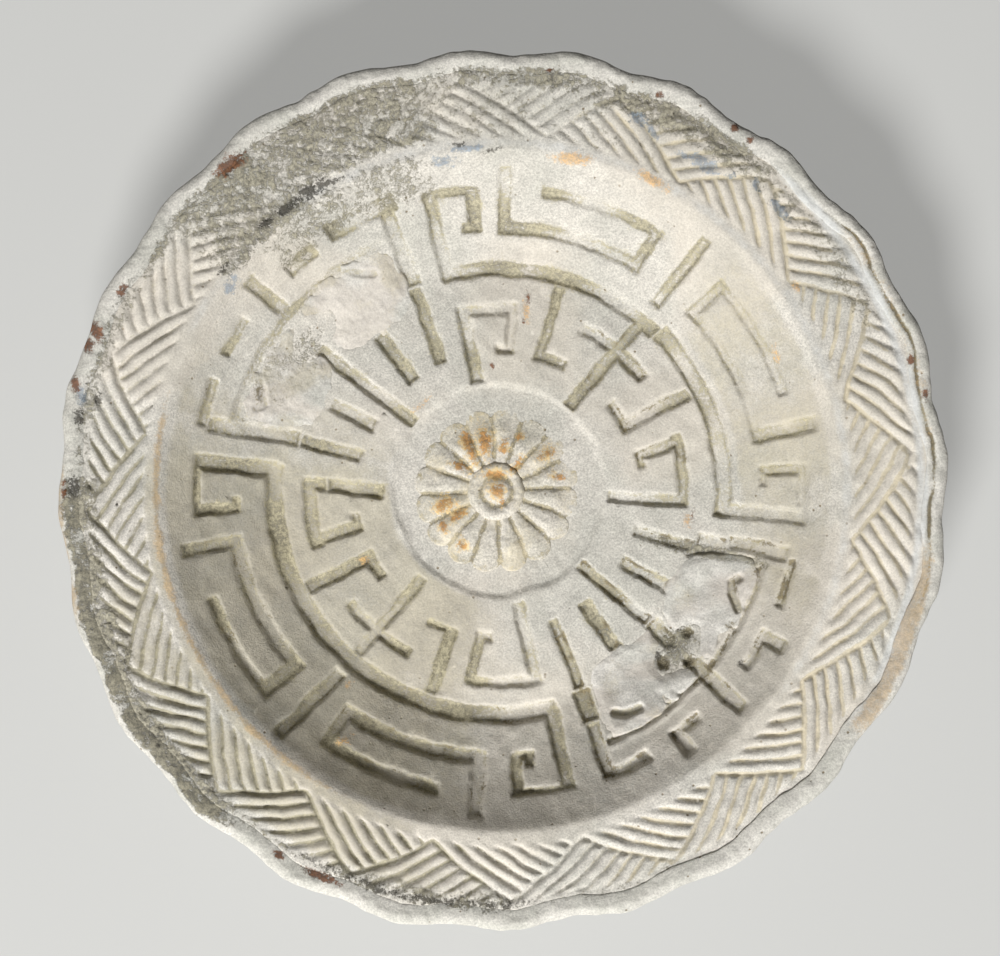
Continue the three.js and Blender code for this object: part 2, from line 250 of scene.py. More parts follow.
# four small spirals on the wall
rail(355, 40.9, 56.7, 3.2)
bar(54.6, 56.7, 353.5, 364.5)
rail(4, 56.7, 48.0, 2.6)
bar(48.0, 49.8, 0.5, 5)
rail(103.4, 40.0, 56.3, 3.0)
bar(54.3, 56.3, 94, 105)
rail(95.2, 56.3, 47.7)
bar(47.7, 49.8, 94, 98.3)
rail(174.7, 41.3, 56.2, 3.5)
bar(54.5, 56.2, 173, 185)
rail(183.9, 56.2, 47.7, 2.4)
bar(47.7, 49.5, 181, 185)
rail(283.3, 41.8, 56.3, 3.0)
bar(54.8, 56.3, 272.5, 284)
rail(273.5, 56.3, 48.4, 2.3)
bar(48.4, 50.2, 272.5, 278)
rail(276.3, 48.4, 51.5, 2.2)
# outlines round the wings of the right butterfly, then of the left one
bar(49.8, 51.2, 293, 345)
rail(318.2, 47.7, 60.0, 3.3)
rail(306.3, 59.7, 54.3, 3.0)
bar(54.3, 56.3, 305, 312)
rail(331, 59.7, 54.3, 3.0)
bar(54.3, 56.5, 324, 332.8)
bar(54.6, 57.0, 291, 300)
bar(54.5, 56.3, 337, 347)
bar(49.5, 51.4, 115, 166)
rail(140, 50.7, 60.0, 3.1)
bar(54.1, 57.0, 127, 134.5)
bar(54.5, 58.0, 109.5, 124)
bar(55.0, 57.0, 145.7, 154)
bar(54.8, 57.0, 158.3, 168)

# Round hollows of the knot between each pair of wings: direction, radius, size.
knots = [
    (313.5, 44.2, 1.4), (323.0, 44.0, 1.15), (318.0, 47.2, 1.15), (318.5, 42.4, 1.4),
    (298.7, 47.0, 1.0), (329.6, 49.2, 0.6), (325.0, 48.5, 0.9), (309.7, 48.8, 0.8),
    (159.4, 46.8, 1.5), (164.6, 49.0, 0.8), (136.0, 47.6, 0.6),
]  # fmt: skip


def apart_degrees(turn, other):
    return (turn - other + 180) % 360 - 180


def inside_fret(turn, radius):
    """How far inside the edge of the nearest groove each point is; below 0 outside the grooves."""
    inside = np.full(np.shape(turn), -9.0)
    for turn_in, radius_in, turn_out, radius_out, width in fret:
        middle = (radius_in + radius_out) / 2
        sweep = math.radians(turn_out - turn_in)
        runs_out = abs(radius_out - radius_in) > abs(sweep) * middle
        margin = 3 + math.degrees((width + 3) / min(radius_in, radius_out))
        away = apart_degrees(turn, (turn_in + turn_out) / 2)
        near = np.abs(away) < abs(turn_out - turn_in) / 2 + margin
        near &= radius > min(radius_in, radius_out) - width
        near &= radius < max(radius_in, radius_out) + width
        if not near.any():
            continue
        reach = radius[near] if runs_out else middle
        x = reach * np.radians(away[near])
        y = radius[near] - middle
        span_x = middle * sweep
        span_y = radius_out - radius_in
        length = math.hypot(span_x, span_y)
        along = np.abs((x * span_x + y * span_y) / length) - length / 2 + GROOVE_CORNER
        across = np.abs((x * span_y - y * span_x) / length) - width / 2 + GROOVE_CORNER
        beyond = np.hypot(np.maximum(along, 0), np.maximum(across, 0))
        depth = GROOVE_CORNER - beyond - np.minimum(np.maximum(along, across), 0)
        inside[near] = np.maximum(inside[near], depth)
    for at, out, size in knots:
        x = radius * np.radians(apart_degrees(turn, at))
        inside = np.maximum(inside, size - np.hypot(x, radius - out))
    return inside


# The flange carries 16 pairs of slanting ridge fields. Their corners lie in turn on the outer and
# the inner edge of the band, and the hand that cut the mould did not space them evenly.
HATCH_INNER = 64.6
HATCH_OUTER = 74.6
HATCH_PITCH = 2.3
HATCH_DEPTH = 0.88
hatch_corners = [
    5, 15, 27, 36, 49, 60, 73, 82.5, 96, 105, 117, 127, 139, 148.5, 161, 171,
    183, 193.5, 205.5, 215.5, 227, 237.5, 249, 259.5, 272, 283.5, 295.5, 307.5, 317.5, 328, 342, 352,
]  # fmt: skip


def hatch_grooves(turn, radius):
    """0 on a ridge of the flange, 1 in a groove between two."""
    corners = np.array(hatch_corners + [hatch_corners[0] + 360, hatch_corners[1] + 360], float)
    middle = (HATCH_INNER + HATCH_OUTER) / 2
    width = HATCH_OUTER - HATCH_INNER
    turn = (turn - corners[0]) % 360 + corners[0]
    share = (radius - HATCH_INNER) / width
    groove = np.zeros(np.shape(turn))
    filled = np.zeros(np.shape(turn), bool)
    for i in range(len(hatch_corners)):
        a, b, c = corners[i : i + 3]
        inward = 1 - share if i % 2 == 0 else share
        start = a + (b - a) * inward
        end = b + (c - b) * (1 - inward)
        field = (turn >= start) & (turn < end) & ~filled
        wrapped = (turn + 360 >= start) & (turn + 360 < end) & ~filled
        slant = width / math.hypot(math.radians(b - a) * middle, width)
        back_slant = width / math.hypot(math.radians(c - b) * middle, width)
        for part, shift in ((field, 0), (wrapped, 360)):
            gone = np.radians(turn[part] + shift - start[part]) * middle * slant
            left = np.radians(end[part] - turn[part] - shift) * middle * back_slant
            ridge = np.sin(math.pi * ((gone / HATCH_PITCH) % 1)) ** 0.85
            groove[part] = np.maximum(1 - ridge, 1 - ease(left, 0.0, 1.1))
            filled |= part
    band = ease(radius, HATCH_INNER - 0.7, HATCH_INNER + 0.5)
    band *= 1 - ease(radius, HATCH_OUTER - 0.3, HATCH_OUTER + 0.6)
    return groove * band, band


# The pads of the butterflies' wings lie in shallow beds, so the dish needs their outlines too:
# direction and radius of each corner. Below them are the curled lines pressed into the pads.
wing_outlines = {
    "butterfly_right_upper_wing": [
        (321.6, 39.6), (323, 38.0), (326, 37.0), (329, 36.3), (332, 36.0), (335, 36.3),
        (338, 36.8), (340.5, 37.7), (342.3, 39.8), (343.8, 43.1), (344.6, 45.9), (344.4, 48.4),
        (342.5, 49.8), (340, 50.3), (336, 50.1), (332, 50.2), (330.3, 50.3), (329.7, 49.3),
        (328.3, 49.7), (327, 48.4), (324.5, 49.3), (321.6, 49.9), (320.5, 48.5), (322.5, 47.0),
        (325.5, 45.0), (325.2, 43.8), (323.5, 42.5), (321, 42.0),
    ],
    "butterfly_right_lower_wing": [
        (316.5, 38.1), (312, 37.8), (308, 36.9), (304, 36.8), (300, 37.0), (297, 37.7),
        (295.4, 39.8), (294.7, 43.5), (294.2, 48.4), (295, 49.9), (298, 50.4), (302, 50.6),
        (306, 50.6), (308, 50.2), (308.5, 48.4), (309.2, 50.0), (310.6, 50.4), (311, 49.4),
        (313, 50.2), (316.3, 50.0), (316.6, 48.2), (314.5, 46.9), (311.6, 45.6), (311.2, 43.6),
        (313, 42.4), (316, 41.4),
    ],
    "butterfly_left_upper_wing": [
        (138, 38.8), (134, 37.0), (130, 36.8), (125, 36.6), (120, 36.3), (117, 37.7),
        (114.8, 38.6), (114.4, 43.0), (114.8, 47.5), (117, 49.3), (121, 49.4), (125, 50.3),
        (126.5, 49.0), (128.5, 50.0), (131, 50.2), (132, 49.0), (134, 49.6), (138, 49.6),
        (138.6, 48.2), (136, 47.2), (133.4, 46.0), (133.2, 43.9), (135, 42.8), (138.4, 41.8),
    ],
    "butterfly_left_lower_wing": [
        (143.8, 38.4), (148, 36.9), (151, 36.4), (155, 35.8), (158, 36.1), (160.5, 37.0),
        (162.2, 38.8), (163.6, 42.0), (164.3, 45.5), (163.5, 48.6), (161, 49.6), (157, 49.4),
        (154.5, 49.9), (153.5, 48.7), (151, 49.4), (148, 49.6), (146.5, 48.5), (144.5, 49.4),
        (142, 49.4), (141.8, 48.0), (144, 46.9), (147.2, 45.6), (147.6, 44.0), (146, 42.7),
        (143.2, 41.6),
    ],
}  # fmt: skip
wing_curls = [
    [(297.5, 46.4), (299.5, 47.5), (303, 47.9)],
    [(333.5, 49.4), (336, 47.2), (338.5, 46.4), (340, 47.3)],
    [(155.5, 48.4), (157.5, 47.3), (160, 46.3), (161.3, 47.3)],
    [(125, 49.4), (122, 47.3), (120, 46.3)],
]


PAD_MIDDLE_RADIUS = 44.0
CURL_RADIUS = 47
FAR_AWAY = 99.0


def from_line(x, y, dx, dy):
    """Distance of points from a straight line that runs from 0, 0 to dx, dy."""
    share = np.clip((x * dx + y * dy) / (dx * dx + dy * dy), 0, 1)
    return np.hypot(x - share * dx, y - share * dy)


def inside_outline(turn, radius, outline):
    """Distance to the outline's edge in mm, above 0 inside it."""
    corners = np.array([(math.radians(t) * PAD_MIDDLE_RADIUS, r) for t, r in outline])
    x, y = np.radians(turn) * PAD_MIDDLE_RADIUS, radius
    nearest = np.full(np.shape(x), FAR_AWAY)
    crossed = np.zeros(np.shape(x), bool)
    for (ax, ay), (bx, by) in zip(corners, np.roll(corners, -1, axis=0)):
        dx, dy = bx - ax, by - ay
        nearest = np.minimum(nearest, from_line(x - ax, y - ay, dx, dy))
        if dy:
            crossed ^= ((ay > y) != (by > y)) & (x < ax + (y - ay) * dx / dy)
    return np.where(crossed, nearest, -nearest)


def near_curl(turn, radius):
    """Distance to the middle of the nearest curled line."""
    nearest = np.full(np.shape(turn), FAR_AWAY)
    for curl in wing_curls:
        for (t0, r0), (t1, r1) in zip(curl, curl[1:]):
            x, dx = np.radians(turn - t0) * CURL_RADIUS, math.radians(t1 - t0) * CURL_RADIUS
            nearest = np.minimum(nearest, from_line(x, radius - r0, dx, r1 - r0))
    return nearest


# Grime and crusts of burial lie along stretches of the flange and lip, each between two directions
# and two radii, with its thickness from 0 to 1.
grime_stretches = [
    (99, 126, 64.5, 77.4, 0.95), (123, 141, 61.5, 77.4, 0.95), (76, 99, 72.8, 77.2, 1.0),
    (50, 78, 71.4, 77.0, 1.05), (62, 84, 64, 73, 0.3), (84, 99, 64, 73, 0.52),
    (24, 50, 71.0, 75.6, 0.6), (102, 134, 55, 63, 0.6), (138, 178, 73.4, 77.6, 0.6),
    (178, 206, 72.4, 79.7, 1.2), (202, 230, 74.2, 79.7, 1.3), (228, 246, 74.0, 76.5, 0.5),
    (246, 272, 72.6, 76.3, 0.75), (272, 300, 73.8, 76, 0.35),
]  # fmt: skip


def within_stretch(turn, radius, turn_from, turn_to, radius_in, radius_out, strength=1, soft=5):
    """1 inside a stretch of a ring, fading out over its ends and sides."""
    away = (turn_to - turn_from) / 2 - np.abs(apart_degrees(turn, (turn_from + turn_to) / 2))
    across = np.minimum(radius - radius_in, radius_out - radius)
    return strength * ease(away, -soft, soft) * ease(across, -1.0, 1.4)


def stretch(x, y, *limits):
    return within_stretch(*polar(x, y), *limits)


def most(values):
    return np.maximum.reduce(list(values))


def crusted(x, y):
    """How thick the crust lies, in islands."""
    islands = ease(unevenness(x, y, 19, 1.2, 7), -1.5, 1.2)
    thinner = np.clip(0.95 + 0.2 * unevenness(x, y, 28, 5, 16), 0.55, 1)
    return most(stretch(x, y, *s) for s in grime_stretches) * (0.55 + 0.45 * islands) * thinner


# Lumps and stains are kept as spots: a middle, two half lengths, a lean and a strength.
def spot(x, y, at_x, at_y, long, wide, lean=0, strength=1):
    a = math.radians(lean)
    u = ((x - at_x) * math.cos(a) + (y - at_y) * math.sin(a)) / long
    v = ((y - at_y) * math.cos(a) - (x - at_x) * math.sin(a)) / wide
    return strength * np.exp(-((u * u + v * v) ** 1.3))


def inside_butterfly(turn):
    """Degrees inside the sector that one of the two butterflies takes up, below 0 outside."""
    return most(26 - np.abs(apart_degrees(turn, middle)) for middle in (319, 140.5))


def pressed_relief(x, y):
    """Height of the inside of the dish and the places where dirt can lie, from plan positions."""
    wander_x = 0.13 * unevenness(x, y, 11, 4, 14)
    wander_y = 0.13 * unevenness(x, y, 12, 4, 14)
    turn, radius = polar(x + wander_x, y + wander_y)
    turn = turn % 360
    crust = crusted(x, y)
    # the fret, shallower round the left butterfly's wings and on the lower left of the wall
    inside = inside_fret(turn, radius)
    worn = 0.08 * unevenness(x, y, 13, 1.2, 5)
    sunk = ease(inside + worn, -0.3, GROOVE_DRAFT)
    depth = GROOVE_DEPTH * (1 + 0.2 * unevenness(x, y, 14, 7, 30))
    depth *= 1 - 0.5 * within_stretch(turn, radius, 112, 168, 48.6, 52.4, 1, 4)
    depth *= 1 - 0.28 * within_stretch(turn, radius, 184, 274, 45, 62, 1, 5)
    # the bars of the flange, worn on the right and clogged where the crust is thick
    groove, band = hatch_grooves(turn, radius)
    thick = within_stretch(turn, radius, 106, 137, 64, 80, 1, 8)
    hatch_depth = HATCH_DEPTH * (1 + 0.2 * unevenness(x, y, 15, 5, 25)) * (1 - 0.4 * crust)
    worn_side = within_stretch(turn, radius, -20, 110, 60, 80, 1, 20)
    hatch_depth *= (1 - 0.5 * thick) * (1 - 0.25 * worn_side)
    # the crust lies thinner on their ridges
    bare_ridge = band * (1 - ease(groove, 0.2, 0.8))
    crust = crust * (1 - 0.3 * (1 - 0.7 * thick) * bare_ridge)
    # the medallion, the beds of the wings and, on the right, the channel beside the lip
    worn_edge = radius + 0.25 * unevenness(x, y, 29, 5, 16)
    medallion = 1 - ease(worn_edge, MEDALLION_RADIUS - 1.2, MEDALLION_RADIUS + 0.5)
    bed = most(ease(inside_outline(turn, radius, o), 0.2, 1.2) for o in wing_outlines.values())
    channel = ease(radius, CHANNEL_RADIUS - 1.4, CHANNEL_RADIUS + 0.1) * ease(x, -10, 50)
    height = plain_height(np.hypot(x, y)) - np.maximum(sunk * depth, medallion * MEDALLION_SINK)
    height += band * 0.2 - groove * hatch_depth - channel * 0.45
    # uneven clay, the lumps of the crust, a raised edge outside the wings and two knobs of clay
    height += 0.06 * unevenness(x, y, 16, 3, 9) + 0.03 * unevenness(x, y, 17, 1.0, 2.5)
    height += crust * (0.12 + 0.12 * unevenness(x, y, 20, 0.9, 3.0)) - 1.5 * bed
    height += 0.25 * np.exp(-(((radius - 51.6) / 0.5) ** 2)) * ease(inside_butterfly(turn), -2, 2)
    height += 0.6 * spot(x, y, 75.1, -8.7, 2.2, 0.9, 70) + 0.5 * spot(x, y, -73.7, -1.0, 1.6, 1.6)
    return height, sunk, inside, groove, crust


def turned_solid(name, rings, caps):
    """A closed mesh from rings of points that run out over the top and back underneath."""
    count, around = rings.shape[:2]
    points = rings.reshape(-1, 3)
    index = np.arange(count * around).reshape(count, around)
    if not caps:
        index = np.vstack([index, index[:1]])
    ahead = np.roll(index, -1, axis=1)
    quads = np.stack([index[:-1], index[1:], ahead[1:], ahead[:-1]], axis=-1).reshape(-1, 4)
    faces = quads.tolist()
    if caps:
        first, last = len(points), len(points) + 1
        points = np.vstack([points, rings[0].mean(0), rings[-1].mean(0)])
        faces += [[first, int(a), int(b)] for a, b in zip(index[0], ahead[0])]
        faces += [[int(a), last, int(b)] for a, b in zip(index[-1], ahead[-1])]
    return solid(name, points, faces)


def put_in_scene(thing):
    bpy.context.scene.collection.objects.link(thing)


def solid(name, points, faces):
    """A smooth-shaded piece at the origin from its points and faces."""
    mesh = bpy.data.meshes.new(name)
    mesh.from_pydata((points * MM).tolist(), [], faces)
    mesh.polygons.foreach_set("use_smooth", [True] * len(mesh.polygons))
    piece = bpy.data.objects.new(name, mesh)
    put_in_scene(piece)
    return piece


def settle(piece):
    """Turns the piece's own mesh into what its modifiers make of it, and removes them."""
    seen = piece.evaluated_get(bpy.context.evaluated_depsgraph_get())
    mesh = bpy.data.meshes.new_from_object(seen)
    mesh.name = piece.name
    piece.modifiers.clear()
    old = piece.data
    piece.data = mesh
    bpy.data.meshes.remove(old)


def thin_out(piece, triangles):
    """Merges faces where the clay is smooth, until about that many triangles are left."""
    piece.data.calc_loop_triangles()
    thin = piece.modifiers.new("thin", "DECIMATE")
    thin.ratio = min(1, triangles / len(piece.data.loop_triangles))
    settle(piece)


def subdivide(piece, levels):
    finer = piece.modifiers.new("finer", "SUBSURF")
    finer.levels = levels
    finer.render_levels = levels
    settle(piece)


def points_of(piece):
    flat = np.empty(len(piece.data.vertices) * 3)
    piece.data.vertices.foreach_get("co", flat)
    return flat.reshape(-1, 3) / MM


def move_points(piece, points):
    piece.data.vertices.foreach_set("co", (points * MM).ravel())
    piece.data.update()


def plan(piece):
    """Positions of a piece's points about the dish's axis, and their heights."""
    points = points_of(piece)
    return points[:, 0] - AXIS.x, points[:, 1] - AXIS.y, points[:, 2]


def from_axis(x, y, z):
    """Points from their positions about the dish's axis."""
    return np.stack([x + AXIS.x, y + AXIS.y, z], axis=-1)


def coat(piece, clay):
    piece.data.materials.clear()
    piece.data.materials.append(clay)


def mark(piece, name, values):
    """Stores a value for each point, which the piece's material reads as an attribute."""
    layer = piece.data.attributes.new(name, "FLOAT", "POINT")
    layer.data.foreach_set("value", np.clip(values, 0, 1).astype(np.float32))


# rings of points close together where there is relief, and few under the flower and the lip
turns = np.arange(COLUMNS) * 360 / COLUMNS
radii = np.concatenate(
    [np.linspace(1, 18.5, 8), np.arange(18.9, 76.2, RING_STEP), [76.7, 77.5, LIP_SEAT_OUTER]]
)
grid_radius, grid_turn = np.meshgrid(radii, turns, indexing="ij")
seat_mask = ease(grid_radius, LIP_SEAT_INNER + 0.1, LIP_SEAT_INNER + 0.8)
inside_height = pressed_relief(*place_at(grid_turn, grid_radius))[0]
inside_height = inside_height * (1 - seat_mask) + LIP_SEAT * seat_mask
grid_spread = on_wavy_edge(grid_turn, grid_radius)
top_rings = from_axis(*place_at(grid_turn, grid_spread), inside_height)

# the outside, from the lip down to the flat under the floor
wall_slopes = np.radians(np.linspace(WALL_TOP_SLOPE, WALL_FOOT_SLOPE, 8))
wall_radii = np.linspace(WELL_RADIUS, WALL_FOOT_RADIUS, 8)
under_radii = wall_radii + WALL_THICKNESS * np.sin(wall_slopes)
under_heights = plain_height(wall_radii) - WALL_THICKNESS * np.cos(wall_slopes)
outside = np.array(
    [
        (RIM_RADIUS - 0.4, LIP_SEAT - 0.8),
        (RIM_RADIUS - 0.9, LIP_SEAT - 1.6),
        (RIM_RADIUS - 2.4, flange_height(RIM_RADIUS - 2.4) - WALL_THICKNESS + 0.9),
        (WELL_RADIUS + 6.5, flange_height(WELL_RADIUS + 6.5) - WALL_THICKNESS + 0.2),
        *zip(under_radii, under_heights),
        *((out, UNDERSIDE_HEIGHT) for out in (WALL_FOOT_RADIUS + 0.6, 30.0, 15.0, 2.0)),
    ]
)
passed = np.concatenate([[0], np.cumsum(np.hypot(*np.diff(outside, axis=0).T))])
steps = np.linspace(0, passed[-1], 110)
under = np.stack([np.interp(steps, passed, outside[:, k]) for k in (0, 1)], axis=1)
# its corners are rounded, and faint rings are left where it was trimmed
for _ in range(2):
    under[1:-1] = (under[:-2] + 2 * under[1:-1] + under[2:]) / 4
under_radius, under_turn = np.meshgrid(under[:, 0], turns, indexing="ij")
under_x, under_y = place_at(under_turn, on_wavy_edge(under_turn, under_radius))
under_height = np.repeat(under[:, 1:], COLUMNS, axis=1)
trimmed = 0.05 * np.sin(under_radius * 2.6) * ease(under_radius, 44, 47)
under_height += trimmed + 0.09 * unevenness(under_x, under_y, 18, 4, 16)
under_rings = from_axis(under_x, under_y, under_height)

dish_body = turned_solid("dish_body_clay", np.concatenate([top_rings, under_rings]), caps=True)
thin_out(dish_body, DISH_TRIANGLES)


rust_spots = [
    (-48.6, 58.8, 3.4, 1.7, 40, 1), (-68.0, 36.2, 1.5, 0.8, 60, 1), (-72.9, 29.0, 1.2, 2.2, 20, 1),
    (-74.2, 26.3, 1.5, 1.5, 0, 1), (-76.5, 19.0, 0.9, 2.2, 10, 0.9), (-78.6, 0.1, 0.6, 2.0, 0, 0.8),
    (-39.9, -65.8, 1.3, 0.9, -30, 1), (-32.3, -69.6, 4.0, 0.8, -24, 1),
    (9.2, 76.0, 0.9, 0.6, 0, 0.9), (29.1, 71.5, 0.9, 0.7, 0, 0.8), (42.6, 65.4, 1.1, 0.9, 0, 0.9),
    (45.3, 63.3, 0.9, 0.7, 0, 0.8), (74.5, 23.6, 0.7, 1.0, 0, 1), (77.0, 17.2, 0.7, 1.1, 0, 0.9),
    (5.3, 35.7, 0.6, 1.7, 0, 0.7), (4.4, 31.3, 0.5, 1.1, 0, 0.6), (-1.2, 23.0, 0.6, 0.8, 0, 0.6),
    (36.1, -5.1, 0.6, 1.5, 0, 0.6), (-23.3, -56.8, 0.4, 0.4, 0, 0.8),
    (-20.9, -57.9, 0.4, 0.3, 0, 0.8),
]  # fmt: skip
blue_spots = [
    (-48.8, 37.3, 2.2, 1.2, 60, 0.8), (-9.8, 60.0, 2.5, 1.2, 0, 0.8),
    (25.5, 67.1, 2.5, 1.2, -20, 0.7), (37.3, 59.0, 3.5, 1.4, -30, 0.9),
    (50.9, 50.8, 3.0, 1.0, -50, 0.9), (-6.0, 62.0, 4.0, 0.7, 4, 0.9),
    (28.0, 64.6, 0.8, 2.0, 30, 0.9), (33.6, 60.6, 2.2, 0.6, -10, 0.9),
    (42.0, 57.0, 0.9, 0.9, 0, 0.9), (46.6, 55.2, 0.6, 1.6, 20, 0.9),
    (-75.6, 17.0, 1.2, 2.4, 10, 0.7),
]  # fmt: skip
wing_shadows = [
    (47.7, -15.3, 0.9, 1.2, 0, 0.85), (43.6, -17.4, 0.6, 3.0, 12, 0.6),
    (30.4, -32.0, 1.6, 1.6, 0, 0.9), (35.1, -26.6, 1.4, 1.4, 0, 0.85),
    (42.9, -25.0, 1.0, 1.2, 0, 0.7), (35.2, -31.8, 1.4, 1.4, 0, 0.75),
    (-44.4, 18.0, 1.2, 2.0, 0, 0.6),
]  # fmt: skip
shared_grime = [(38.5, -11.5, 11.0, 1.3, -12, 0.9), (33.0, -29.3, 4.4, 3.4, 60, 0.75)]
orange_spots = [
    (13.5, 60.2, 4.2, 1.2, -5, 0.95), (28.1, 56.2, 3.6, 1.1, -30, 0.9),
    (53.9, 36.8, 2.0, 0.8, -60, 0.7), (4.9, 33.3, 0.9, 3.2, 5, 0.7), (35.1, -5.7, 0.9, 1.9, 0, 0.8),
    (-25.1, -13.1, 1.5, 1.1, 30, 0.7), (-28.5, -45.9, 2.0, 1.1, 20, 0.7),
    (-14.4, 15.9, 3.0, 0.8, 40, 0.6), (50.7, 25.0, 0.9, 2.8, 15, 0.5),
    (-28.0, -36.0, 1.6, 1.0, 35, 0.6),
]  # fmt: skip
soot_and_shade_spots = [
    (-38.6, 51.0, 3.5, 1.0, 40, 1), (-34.0, 54.2, 3.0, 1.5, 25, 1),
    (-42.0, 48.6, 2.2, 0.9, 30, 0.9), (-30.0, 56.0, 4.0, 0.5, 20, 0.8),
    (-50.0, 40.0, 1.6, 0.5, 55, 0.7), (-7.5, 62.6, 1.6, 0.5, 0, 0.9),
    (-1.0, 61.8, 2.2, 0.4, 12, 0.8), (-76.0, 13.4, 1.0, 1.6, 0, 0.9),
    (-77.0, 0.6, 1.3, 2.2, 0, 0.9), (-72.6, 16.6, 0.8, 1.2, 20, 0.8),
    (-61.5, -46.0, 0.5, 0.5, 0, 0.8), (-21.0, -72.5, 3.0, 0.6, -14, 0.8),
    # the spots from 29.3, -31.0 on are painted shade in the hollows about the butterflies' knots
    (-12.0, -74.2, 4.0, 0.6, -8, 0.8), (29.3, -31.0, 0.9, 0.9, 0, 0.75),
    (33.3, -25.4, 0.7, 0.7, 0, 0.7), (42.3, -24.8, 0.5, 0.7, 0, 0.7),
    (44.5, -31.6, 0.6, 0.9, -30, 0.7), (-43.7, 16.4, 0.9, 1.2, 0, 0.5),
]  # fmt: skip


def spotted(x, y, spots):
    return most(spot(x, y, *s) for s in spots)


def stain_dish(piece):
    """Marks where each kind of dirt and wear shows on the inside of the dish."""
    x, y, z = plan(piece)
    height, sunk, inside, groove, crust = pressed_relief(x, y)
    # dirt and painted shade along the foot of each groove wall
    crease_dirt_and_shade = np.exp(-(((inside - 0.5) / 0.35) ** 2))
    beside = np.exp(-((np.minimum(inside, 0) / 1.1) ** 2))
    top = np.where(z > height - 0.9, 1.0, 0.0)
    right = ease(x, -10, 40)
    turn, radius = polar(x, y)
    groove_share = 0.85 + 0.4 * unevenness(x, y, 25, 12, 45)
    hatch_share = 0.34 + 0.46 * within_stretch(turn, radius, 168, 268, 60, 80, 1, 12)
    furrow = ease(groove, 0.12, 0.7)
    right_wall = ease(x, 15, 50)
    fill = (0.45 - 0.2 * right_wall) * sunk + (0.5 - 0.1 * right_wall) * crease_dirt_and_shade
    fill += 0.2 * beside * (1 - 0.4 * right_wall)
    fill *= 1 - 0.4 * within_stretch(turn, radius, 110, 170, 44, 54, 1, 5)
    mark(piece, "sunk", fill * groove_share * top)
    # dark lines at the foot of groove walls on the lower left of the wall, round the right butterfly
    # and on the upper right floor: dirt and painted shade; the wing_shadows spots are painted
    # shadows in the butterflies' hollows and curls
    dark_sides = [(286, 352, 19, 57, 0.95, 5), (5, 62, 20, 38, 0.6, 6), (186, 284, 40, 61, 0.6, 10)]
    dark_zone = most(within_stretch(turn, radius, *s) for s in dark_sides)
    broken = ease(unevenness(x, y, 30, 2.5, 12), -0.5, 0.7)
    dark = (0.75 * crease_dirt_and_shade + 0.25 * sunk) * dark_zone * broken
    mark(piece, "dark", np.maximum(dark, spotted(x, y, wing_shadows)) * top)
    # dirt and painted shade in the furrows between the flange's ridges, heavier on the lower left
    mark(piece, "hatched", furrow * hatch_share * top)
    mark(piece, "warm", (0.35 + 0.45 * unevenness(x, y, 27, 25, 90) + 0.3 * right) * top)
    films = [
        (165, 268, 20, 61, 0.8, 22), (172, 262, 61.5, 65.0, 0.7, 10),
        (188, 264, 64.0, 74.0, 0.6, 10), (-22, 46, 44.0, 61.0, 0.6, 15),
    ]  # fmt: skip
    film = most(stretch(x, y, *f) for f in films)
    mark(piece, "dull", (film + 0.2 * inside_butterfly(turn).clip(0, 1)) * top)
    for name, spots in (("rust", rust_spots), ("blue", blue_spots), ("orange", orange_spots)):
        mark(piece, name, spotted(x, y, spots) * top)
    by_wings = spotted(x, y, [*shared_grime, (-36.0, 26.0, 4.6, 3.2, 45, 0.5)])
    mark(piece, "grime", np.maximum(crust, by_wings) * top)
    # soot, and painted shade in the butterflies' knot hollows
    soot = spotted(x, y, soot_and_shade_spots)
    mark(piece, "soot", np.maximum(soot, stretch(x, y, 242, 274, 74.0, 76.4, 0.55, 6)) * top)
    # painted highlight: a whiter coat on the slopes of the well edge, flange and channel on the
    # right and top, which face the lamp
    painted_highlights = [
        (-32, 50, 75.2, 77.6, 0.8, 10), (-40, 160, 61.6, 64.6, 0.5, 15),
        (84, 108, 61, 71, 0.4, 5),
    ]  # fmt: skip
    mark(piece, "white", most(stretch(x, y, *s) for s in painted_highlights) * top)
    mark(piece, "ochre", stretch(x, y, 164, 242, 61.5, 63.1, 1, 8) * top)
    mark(piece, "cream", np.maximum(sunk * 0.3, furrow * right * 0.85) * top)


stain_dish(dish_body)


def wire(tree, kind, inputs=None, **settings):
    """A new node, with its settings and its inputs, each a value or another node's output."""
    node = tree.nodes.new(kind)
    for name, value in settings.items():
        setattr(node, name, value)
    for socket, value in (inputs or {}).items():
        if isinstance(value, bpy.types.NodeSocket):
            tree.links.new(value, node.inputs[socket])
        else:
            node.inputs[socket].default_value = value
    return node


def laid_over(tree, mask, under, over, mode="MIX"):
    """The upper colour over the lower one where the mask is 1."""
    inputs = {0: mask, 6: under, 7: over}
    return wire(tree, "ShaderNodeMix", inputs, data_type="RGBA", blend_type=mode).outputs[2]


def maths(tree, a, b, operation="ADD", clamp=False):
    """The sum of two values, or what another operation makes of them."""
    settings = {"operation": operation, "use_clamp": clamp}
    return wire(tree, "ShaderNodeMath", {0: a, 1: b}, **settings).outputs[0]


def stepped(tree, value, low, high, to_low=0.0, to_high=1.0):
    """A smooth step of a value between two levels."""
    inputs = {"Value": value, "From Min": low, "From Max": high, "To Min": to_low, "To Max": to_high}
    return wire(tree, "ShaderNodeMapRange", inputs, interpolation_type="SMOOTHSTEP").outputs[0]


def noise(tree, place, scale, detail, roughness=0.6):
    inputs = {"Vector": place, "Scale": scale, "Detail": detail, "Roughness": roughness}
    return wire(tree, "ShaderNodeTexNoise", inputs).outputs[0]


def scaled(tree, colour, factor):
    return wire(tree, "ShaderNodeVectorMath", {0: colour, 3: factor}, operation="SCALE").outputs[0]


